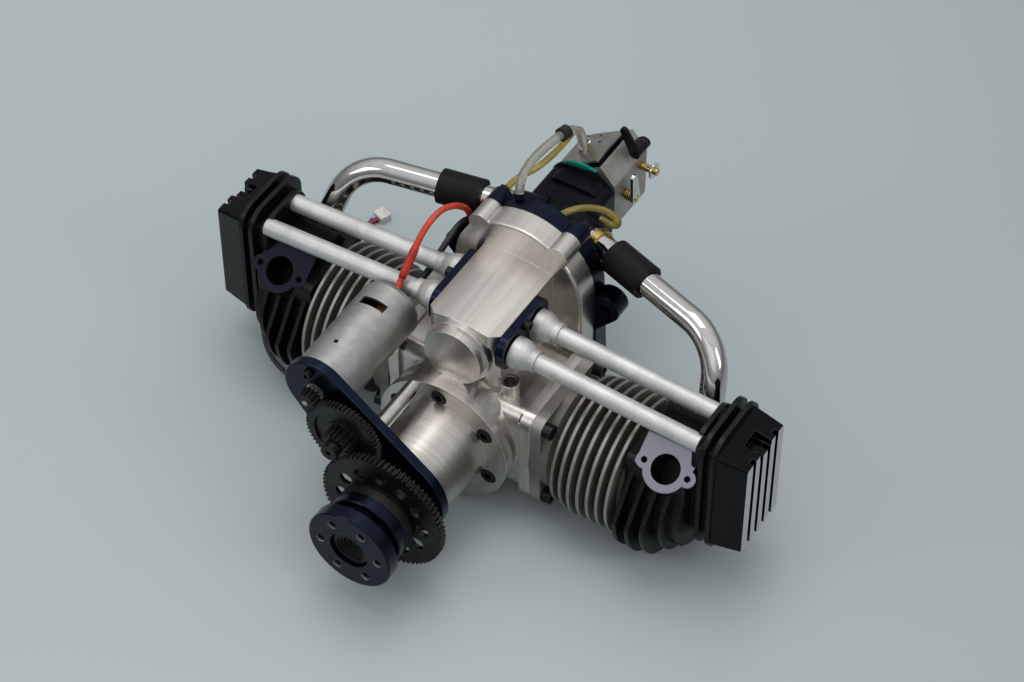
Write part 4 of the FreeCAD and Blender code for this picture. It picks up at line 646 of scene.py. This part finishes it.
cordFacts = {
    "breatherHose": {"node": "breather_hose", "radius": 0.0025, "length": 0.0735, "end": "object",
                     "stiffness": "medium", "slot": "clear_tube", "with": ["hose_clamp"]},
    "fuelTube": {"node": "fuel_tube", "radius": 0.0018, "length": 0.0733, "end": "object",
                 "stiffness": "medium", "slot": "yellow_tube", "with": []},
    "fuelLoop": {"node": "fuel_loop", "radius": 0.0018, "length": 0.0533, "end": "object",
                 "stiffness": "medium", "slot": "yellow_tube", "with": []},
    "redLead": {"node": "motor_lead_red", "radius": 0.00175, "length": 0.1092, "end": "connector",
                "stiffness": "medium", "slot": "red_lead", "with": ["lead_connector"]},
    "blackLead": {"node": "motor_lead_black", "radius": 0.00175, "length": 0.0861, "end": "connector",
                  "stiffness": "medium", "slot": "black_lead", "with": ["lead_connector"]},
    "sensorCable": {"node": "sensor_cable", "radius": 0.0013, "length": 0.2398, "end": "plug",
                    "stiffness": "limp", "slot": "black_lead", "with": ["sensor_plug"]},
}

cordFinishes = {
    "breatherHose": hoseFinish("clearHoseWall", (0.62, 0.60, 0.54), 0.75),
    "fuelTube": hoseFinish("yellowTubeWall", (0.60, 0.45, 0.09), 0.7),
    "fuelLoop": hoseFinish("yellowLoopWall", (0.60, 0.47, 0.11), 0.7),
    "redLead": moulded("redSilicone", (0.62, 0.055, 0.02), (0.35, 0.5), 900, 0.00004),
    "blackLead": moulded("blackSilicone", (0.018, 0.018, 0.019), (0.38, 0.5), 900, 0.00004),
    "sensorCable": moulded("cableSheath", (0.02, 0.022, 0.024), (0.32, 0.45), 900, 0.00004),
}


# every cord is one smooth curve; the wires at the plug are finer
smooth = {"cord": {"along": 10, "around": 5}, "wire": {"along": 12, "around": 4}}


def makeCurve(name, points, radius, finish, steps):
    # a round cord along the smooth line that its points lead
    curve = bpy.data.curves.new(name, "CURVE")
    curve.dimensions = "3D"
    spline = curve.splines.new("NURBS")
    spline.points.add(len(points) - 1)
    for made, place in zip(spline.points, points):
        made.co = (*place, 1.0)
    spline.order_u = 3
    spline.use_endpoint_u = True
    spline.resolution_u = steps["along"]
    curve.bevel_depth = radius
    curve.bevel_resolution = steps["around"]
    curve.use_fill_caps = True
    curve.materials.append(finish)
    piece = bpy.data.objects.new(name, curve)
    scene.collection.objects.link(piece)
    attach(piece, "engine")
    return piece


def makePiece(name, corners, faces):
    mesh = bpy.data.meshes.new(name)
    mesh.from_pydata(corners, [], faces)
    piece = bpy.data.objects.new(name, mesh)
    scene.collection.objects.link(piece)
    return piece


def ringFaces(rings, sides):
    # the wall between each ring of corners and the next, then a face on the first ring
    faces = []
    for ring in range(rings - 1):
        for step in range(sides):
            after = (step + 1) % sides
            faces.append((ring * sides + step, ring * sides + after,
                          (ring + 1) * sides + after, (ring + 1) * sides + step))
    faces.append(tuple(reversed(range(sides))))
    return faces


def ringTube(name, points, radii, sides):
    # a closed tube through the points, one radius for each
    corners = []
    side = Vector((1.0, 0.0, 0.0))
    for index, middle in enumerate(points):
        ahead = points[min(index + 1, len(points) - 1)] - points[max(index - 1, 0)]
        ahead.normalize()
        side = (side - ahead * side.dot(ahead)).normalized()
        other = ahead.cross(side)
        for step in range(sides):
            turn = 2 * pi * step / sides
            corners.append(middle + (side * cos(turn) + other * sin(turn)) * radii[index])
    faces = ringFaces(len(points), sides)
    faces.append(tuple(range(len(corners) - sides, len(corners))))
    piece = makePiece(name, corners, faces)
    for face in piece.data.polygons[:-2]:
        face.use_smooth = True
    return piece


def lineOf(cord):
    # points along a cord's own smooth line, read from a copy of its curve without thickness
    bare = cord.copy()
    curve = cord.data.copy()
    bare.data = curve
    curve.bevel_depth, curve.use_fill_caps = 0.0, False
    mesh = bpy.data.meshes.new_from_object(bare)
    line = [corner.co.copy() for corner in mesh.vertices]
    bpy.data.objects.remove(bare)
    bpy.data.curves.remove(curve)
    bpy.data.meshes.remove(mesh)
    return line


# the sensor cable ends in three thin wires that spread into the white plug
plugWires = {
    "radius": 0.00062,
    "points": [(-0.1459, 0.2318, -0.04105), (-0.1447, 0.2352, -0.0404), (-0.1437, 0.2384, -0.0402)],
    "spreadX": 0.0021,
    "spreadY": 0.00084,
    "rise": 0.0002,
    "colours": {"plugWireBlue": (0.02, 0.06, 0.42), "plugWirePurple": (0.16, 0.03, 0.30),
                "plugWireRed": (0.5, 0.02, 0.015)},
}


def makePlugWires():
    wires = []
    last = len(plugWires["points"]) - 1
    for index, (name, colour) in enumerate(plugWires["colours"].items()):
        points = []
        for step, place in enumerate(plugWires["points"]):
            off = (index - 1) * step / last
            points.append((place[0] + off * plugWires["spreadX"], place[1] + off * plugWires["spreadY"],
                           place[2] + index * plugWires["rise"]))
        sheath = moulded(name + "Sheath", colour, (0.35, 0.45), 1200, 0.00002)
        piece = makeCurve(name, points, plugWires["radius"], sheath, smooth["wire"])
        wires.append(piece)
    return wires


# red shrink sleeve over the joint at the motor's end of the lead, a little wavy and drawn in at its ends
leadSleeve = {
    "from": 0.0035,
    "to": 0.0245,
    "radius": 0.0023,
    "sides": 20,
    "wave": 0.0001,
    "radiansPerMetre": 1400,
    "drawnIn": (0.0002, 0.0003),
}


def makeLeadSleeve(lead):
    line = lineOf(lead)
    points, radii, gone = [], [], 0.0
    for before, after in zip(line, line[1:]):
        if leadSleeve["from"] <= gone <= leadSleeve["to"]:
            wave = leadSleeve["wave"] * sin(gone * leadSleeve["radiansPerMetre"])
            points.append(before)
            radii.append(leadSleeve["radius"] + wave)
        gone += (after - before).length
    for end, less in zip((0, -1), leadSleeve["drawnIn"]):
        radii[end] -= less
    sleeve = ringTube("leadSleeve", points, radii, leadSleeve["sides"])
    sleeve.data.materials.append(moulded("redShrink", (0.50, 0.03, 0.012), (0.28, 0.4), 700, 0.00003))
    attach(sleeve, "engine")
    return sleeve


def makeCord(label):
    facts = cordFacts[label]
    piece = makeCurve(label, routes[label], facts["radius"], cordFinishes[label], smooth["cord"])
    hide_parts(facts["node"])
    onCord = list(facts["with"])
    if label == "redLead":
        onCord.append(makeLeadSleeve(piece))
    if label == "sensorCable":
        onCord += makePlugWires()


for cordLabel in routes:
    makeCord(cordLabel)
print("cords laid:", len(routes))


# finishes for the carried-over nodes
crankAxis = ((0.0, 0.0), "Y")
rightBank = ((0.1291, 0.0), "X")
leftBank = ((0.14, 0.0), "X")
castShades = ((0.37, 0.352, 0.325), (0.27, 0.255, 0.232))
brassTone = (0.58, 0.40, 0.14)
evenly = (1.0, 1.0, 1.0)
headLook = {
    "colour": (0.011, 0.0105, 0.0105),
    "deep": (0.007, 0.007, 0.007),
    "roughness": (0.36, 0.5),
    "edgeTone": (0.045, 0.043, 0.042),
    "metallic": 0.75,
}

hubBlue = anodised("hubBlue", (0.009, 0.014, 0.030), (0.007, 0.010, 0.021), (0.2, 0.3),
                   rings=crankAxis, bare=holeWalls, bareTone=(0.95, 0.93, 0.9))
plateBlue = anodised("plateBlue", (0.010, 0.018, 0.040), (0.008, 0.013, 0.029), edgeTone=(0.06, 0.10, 0.26))
backBlue = anodised("backBlue", (0.009, 0.014, 0.032), (0.007, 0.010, 0.023), edgeTone=(0.05, 0.08, 0.2))
# painted reflection: the left flange's dark navy tone stands for the dark surroundings that its bare face
# reflects
headLeft = anodised("headBlack", **headLook, bare=leftFlangeDarkReflection, bareTone=(0.012, 0.0125, 0.020))
headRight = anodised("headBlackMilled", **headLook, bare=rightFlange, bareTone=(0.235, 0.232, 0.272))
# the cover's pale edges are partly paler anodising and partly a painted highlight along them
coverBlack = anodised("coverBlack", (0.008, 0.008, 0.009), (0.006, 0.006, 0.007), (0.12, 0.2),
                      (0.16, 0.16, 0.17), edgeShare=0.7, bare=coverLands)
gearBlack = blackedSteel("gearBlack", 0.35)
screwBlack = blackedSteel("screwBlack", 0.25, (0.022, 0.022, 0.023))
chokeBlack = blackedSteel("chokeBlack", 0.15, (0.016, 0.016, 0.017))
shaftSteel = brightSteel("shaftSteel")
gearSteel = brightSteel("gearSteel", (0.42, 0.41, 0.40))
rodSteel = brightSteel("rodSteel", (0.66, 0.64, 0.61), (0.1, 0.2))
leverSteel = brightSteel("leverSteel", (0.70, 0.69, 0.67), (0.16, 0.26), other=shaftTip, otherTone=brassTone)
zincCan = brightSteel("zincCan", (0.44, 0.435, 0.425), (0.44, 0.52), evenly)
lidPressed = brightSteel("lidPressed", (0.50, 0.47, 0.44), (0.34, 0.46), evenly,
                         other=lidGasket, otherTone=(0.012, 0.012, 0.012))
brass = brightSteel("brass", brassTone)
brassWashered = brightSteel("brassWashered", brassTone, other=needleWasher)
# the spring's dark inner side is painted shade in the gaps between its turns
springBrass = brightSteel("springBrass", (0.50, 0.34, 0.12), other=springGapShade,
                          otherTone=(0.03, 0.02, 0.008))
pipeChrome = plated("pipeChrome")
windings = woundCopper("windings")
housingTurned = turnedAluminium("housingTurned", *crankAxis)
caseMilled = milledAluminium("caseMilled")
cylinderCastRight = castAluminium("cylinderCastRight", *castShades, barrel=rightBank)
cylinderCastLeft = castAluminium("cylinderCastLeft", *castShades, barrel=leftBank)
tubeSatin = castAluminium("tubeSatin", (0.66, 0.65, 0.65), (0.52, 0.51, 0.51))
collarCast = castAluminium("collarCast", (0.62, 0.61, 0.60), (0.46, 0.45, 0.44))
carbCast = castAluminium("carbCast", (0.44, 0.415, 0.39), (0.30, 0.28, 0.26), painted=chokeMount)
rubber = moulded("rubber", (0.006, 0.0058, 0.0056), (0.46, 0.58), 1100, 0.00006, IOR=1.25)
clampRubber = ribbed("clampRubber", (0.014, 0.014, 0.014))
gasketTeal = moulded("gasketTeal", (0.0, 0.26, 0.20), other=gasketRim)
manifoldBlack = moulded("manifoldBlack", (0.004, 0.0045, 0.008), (0.3, 0.42), 800, 0.00006, IOR=1.2)
plasticBlack = moulded("plasticBlack", (0.02, 0.02, 0.02))
plasticWhite = moulded("plasticWhite", (0.72, 0.70, 0.66), (0.35, 0.5))

finishes = {
    "prop_hub": hubBlue,
    "prop_retainer": gearBlack,
    "crankshaft": shaftSteel,
    "main_bearings": shaftSteel,
    "crank_gear": gearBlack,
    "timing_pinion": gearSteel,
    "idler_gear": gearBlack,
    "idler_pin": screwBlack,
    "motor_pinion": gearBlack,
    "motor_armature": windings,
    "motor_can": zincCan,
    "motor_screws": screwBlack,
    "starter_plate": plateBlue,
    "standoff_rod": rodSteel,
    "front_housing": housingTurned,
    "housing_screws": screwBlack,
    "crankcase": caseMilled,
    "backplate": backBlue,
    "backplate_screws": screwBlack,
    "camshaft": shaftSteel,
    "cam_gear": gearSteel,
    "cylinder_right": cylinderCastRight,
    "cylinder_left": cylinderCastLeft,
    "cylinder_screws": screwBlack,
    "piston_right": housingTurned,
    "piston_left": housingTurned,
    "head_right": headRight,
    "head_left": headLeft,
    "rocker_cover_right": coverBlack,
    "rocker_cover_left": coverBlack,
    "spark_plug_right": shaftSteel,
    "spark_plug_left": shaftSteel,
    "tube_collars": collarCast,
    "pushrod_tubes": tubeSatin,
    "tappet_plate_right": backBlue,
    "tappet_plate_left": backBlue,
    "tappet_screws": screwBlack,
    "intake_pipe_right": pipeChrome,
    "intake_pipe_left": pipeChrome,
    "intake_hose_right": rubber,
    "intake_hose_left": rubber,
    "manifold_stubs": pipeChrome,
    "stub_rings": brass,
    "intake_manifold": manifoldBlack,
    "carb_gasket": gasketTeal,
    "carb_body": carbCast,
    "carb_cover": lidPressed,
    "throttle_shaft": leverSteel,
    "throttle_spring": springBrass,
    "choke_lever": chokeBlack,
    "idle_screw": brassWashered,
    "hose_clamp": clampRubber,
    "lead_connector": plasticBlack,
    "sensor_plug": plasticWhite,
}
for nodeLabel, finish in finishes.items():
    dress(nodeLabel, finish)
print("finishes on:", len(finishes))


# small parts on the carburettor's sloping lid, each at its way down the slope and back
lidScrew = {
    "down": 0.0213,
    "back": 0.2512,
    "turn": radians(35.0),
    "profile": [(0.0031, -0.0001), (0.0031, 0.0005), (0.0027, 0.00085), (0.0, 0.00095)],
    "sides": 36,
    "slot": {"width": 0.0007, "depth": 0.0006},
}
lidPlugs = {
    "places": [(0.0238, 0.2565), (0.0143, 0.2563), (0.0105, 0.2498)],
    "profile": [(0.0008, -0.0001), (0.0008, 0.00012), (0.0005, 0.00012), (0.0005, 0.00003),
                (0.0, 0.00003)],
    "sides": 20,
}


def cutSlot(piece, facts):
    # a screwdriver slot across the top, cut with a box that is wider and higher than the part
    reach, top = 2 * facts["profile"][0][0], facts["profile"][-1][1]
    half, low = facts["slot"]["width"] / 2, top - facts["slot"]["depth"]
    box = [(x, y, z) for x in (-reach, reach) for y in (-half, half) for z in (low, 2 * top)]
    walls = [(0, 1, 3, 2), (4, 6, 7, 5), (0, 4, 5, 1), (2, 3, 7, 6), (0, 2, 6, 4), (1, 5, 7, 3)]
    cutter = makePiece(piece.name + "Cutter", box, walls)
    cut = piece.modifiers.new("slot", "BOOLEAN")
    cut.operation = "DIFFERENCE"
    cut.object = cutter
    bpy.context.view_layer.update()
    done = bpy.data.meshes.new_from_object(piece.evaluated_get(bpy.context.evaluated_depsgraph_get()))
    piece.modifiers.clear()
    piece.data = done
    bpy.data.objects.remove(cutter)


def turnedPart(name, facts, down, back, turn, finish):
    # a small turned part, its profile spun around its own axis, standing on the lid
    profile, sides = facts["profile"], facts["sides"]
    corners = []
    for radius, height in profile[:-1]:
        for step in range(sides):
            angle = 2 * pi * step / sides
            corners.append((radius * cos(angle), radius * sin(angle), height))
    faces = ringFaces(len(profile) - 1, sides)
    tip, last = len(corners), len(corners) - sides
    corners.append((0.0, 0.0, profile[-1][1]))
    faces += [(last + step, last + (step + 1) % sides, tip) for step in range(sides)]
    piece = makePiece(name, corners, faces)
    if "slot" in facts:
        cutSlot(piece, facts)
    piece.data.materials.clear()
    piece.data.materials.append(finish)
    corner, slope = lid["corner"], lid["slope"]
    piece.location = (corner[0] - down * cos(slope), back, corner[2] - down * sin(slope))
    piece.rotation_euler = (0.0, -slope, turn)
    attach(piece, "engine")
    return piece


def makeLidParts():
    made = turnedPart("lidScrew", lidScrew, lidScrew["down"], lidScrew["back"], lidScrew["turn"], rodSteel)
    for index, (down, back) in enumerate(lidPlugs["places"]):
        plug = turnedPart("lidPlug%d" % (index + 1), lidPlugs, down, back, 0.0, screwBlack)


makeLidParts()
print("lid parts on:", 1 + len(lidPlugs["places"]))


# studio: pale sheet, big soft light overhead, weaker ones at the sides
sheet = {
    "z": -0.0425,
    "half": 2.0,
    "colour": (0.405, 0.463, 0.477),
    "darkest": 0.96,
    "cloudScale": 1.6,
    "fadeAlong": (0.85, 0.53, 0.0),
    "fade": (0.1, 0.62),
    "farShade": (0.31, 0.33, 0.335),
    "glossScale": 6,
    "roughness": (0.28, 0.36),
}


def makeFloor():
    # pale at the engine, with painted shade making it a little darker towards the far right
    half, z = sheet["half"], sheet["z"]
    floor = makePiece("floor", [(-half, -half, z), (half, -half, z), (half, half, z), (-half, half, z)],
                      [(0, 1, 2, 3)])
    made, tree, shader = newFinish("floorSheet", sheet["colour"], 0.0)
    place = placeOf(tree)
    tone = clouded(tree, noiseOf(tree, place, sheet["cloudScale"], 2.0), sheet["colour"], sheet["darkest"])
    # painted shade: the sheet darkens towards the far right
    fade = spread(tree, dotOf(tree, place, sheet["fadeAlong"]), *sheet["fade"])
    tree.links.new(mixColour(tree, fade, tone, sheet["farShade"]), shader.inputs["Base Color"])
    tree.links.new(between(tree, noiseOf(tree, place, sheet["glossScale"]), sheet["roughness"]),
                   shader.inputs["Roughness"])
    floor.data.materials.append(made)


lights = [
    {"name": "overhead", "place": (-0.22, 0.30, 1.85), "target": (0.0, 0.15, 0.0), "size": (1.1, 0.9),
     "watts": 9.5, "colour": (1.0, 0.98, 0.95)},
    {"name": "side", "place": (1.6, 0.1, 1.1), "target": (0.0, 0.15, 0.0), "size": (0.5, 0.9),
     "watts": 5.0, "colour": (0.96, 0.98, 1.0)},
    {"name": "front", "place": (-1.1, -1.3, 1.2), "target": (0.0, 0.12, 0.0), "size": (0.7, 0.7),
     "watts": 4.0, "colour": (0.96, 0.98, 1.0)},
    {"name": "fill", "place": (0.5, -1.4, 1.5), "target": (0.0, 0.12, 0.0), "size": (1.6, 1.2),
     "watts": 2.0, "colour": (1.0, 0.98, 0.95)},
]


def makeLight(facts):
    data = bpy.data.lights.new(facts["name"], "AREA")
    data.shape = "RECTANGLE"
    data.size, data.size_y = facts["size"]
    data.energy = facts["watts"]
    data.color = facts["colour"]
    lamp = bpy.data.objects.new(facts["name"], data)
    scene.collection.objects.link(lamp)
    lamp.location = facts["place"]
    away = Vector(facts["target"]) - Vector(facts["place"])
    lamp.rotation_euler = away.to_track_quat("-Z", "Y").to_euler()


# the room around it, darker below and brighter above; each stop is a height and a colour
room = {
    "strength": 1.05,
    "stops": [(0.0, (0.16, 0.17, 0.17)), (0.25, (0.26, 0.27, 0.28)), (0.6, (0.62, 0.64, 0.65)),
              (1.0, (0.82, 0.84, 0.85))],
}


def makeWorld():
    world = bpy.data.worlds.new("room")
    scene.world = world
    world.use_nodes = True
    tree = world.node_tree
    background = tree.nodes["Background"]
    height = partOf(tree, addNode(tree, "TexCoord").outputs["Generated"], "Z")
    ramp = addNode(tree, "ValToRGB", {"Fac": height})
    elements = ramp.color_ramp.elements
    elements.remove(elements[1])
    for index, (where, colour) in enumerate(room["stops"]):
        element = elements[0] if index == 0 else elements.new(where)
        element.position = where
        element.color = (*colour, 1.0)
    tree.links.new(ramp.outputs["Color"], background.inputs["Color"])
    background.inputs["Strength"].default_value = room["strength"]


makeFloor()
for lightFacts in lights:
    makeLight(lightFacts)
makeWorld()
scene.view_settings.view_transform = "Standard"
print("studio lit:", len(lights), "lights")

bpy.context.view_layer.update()
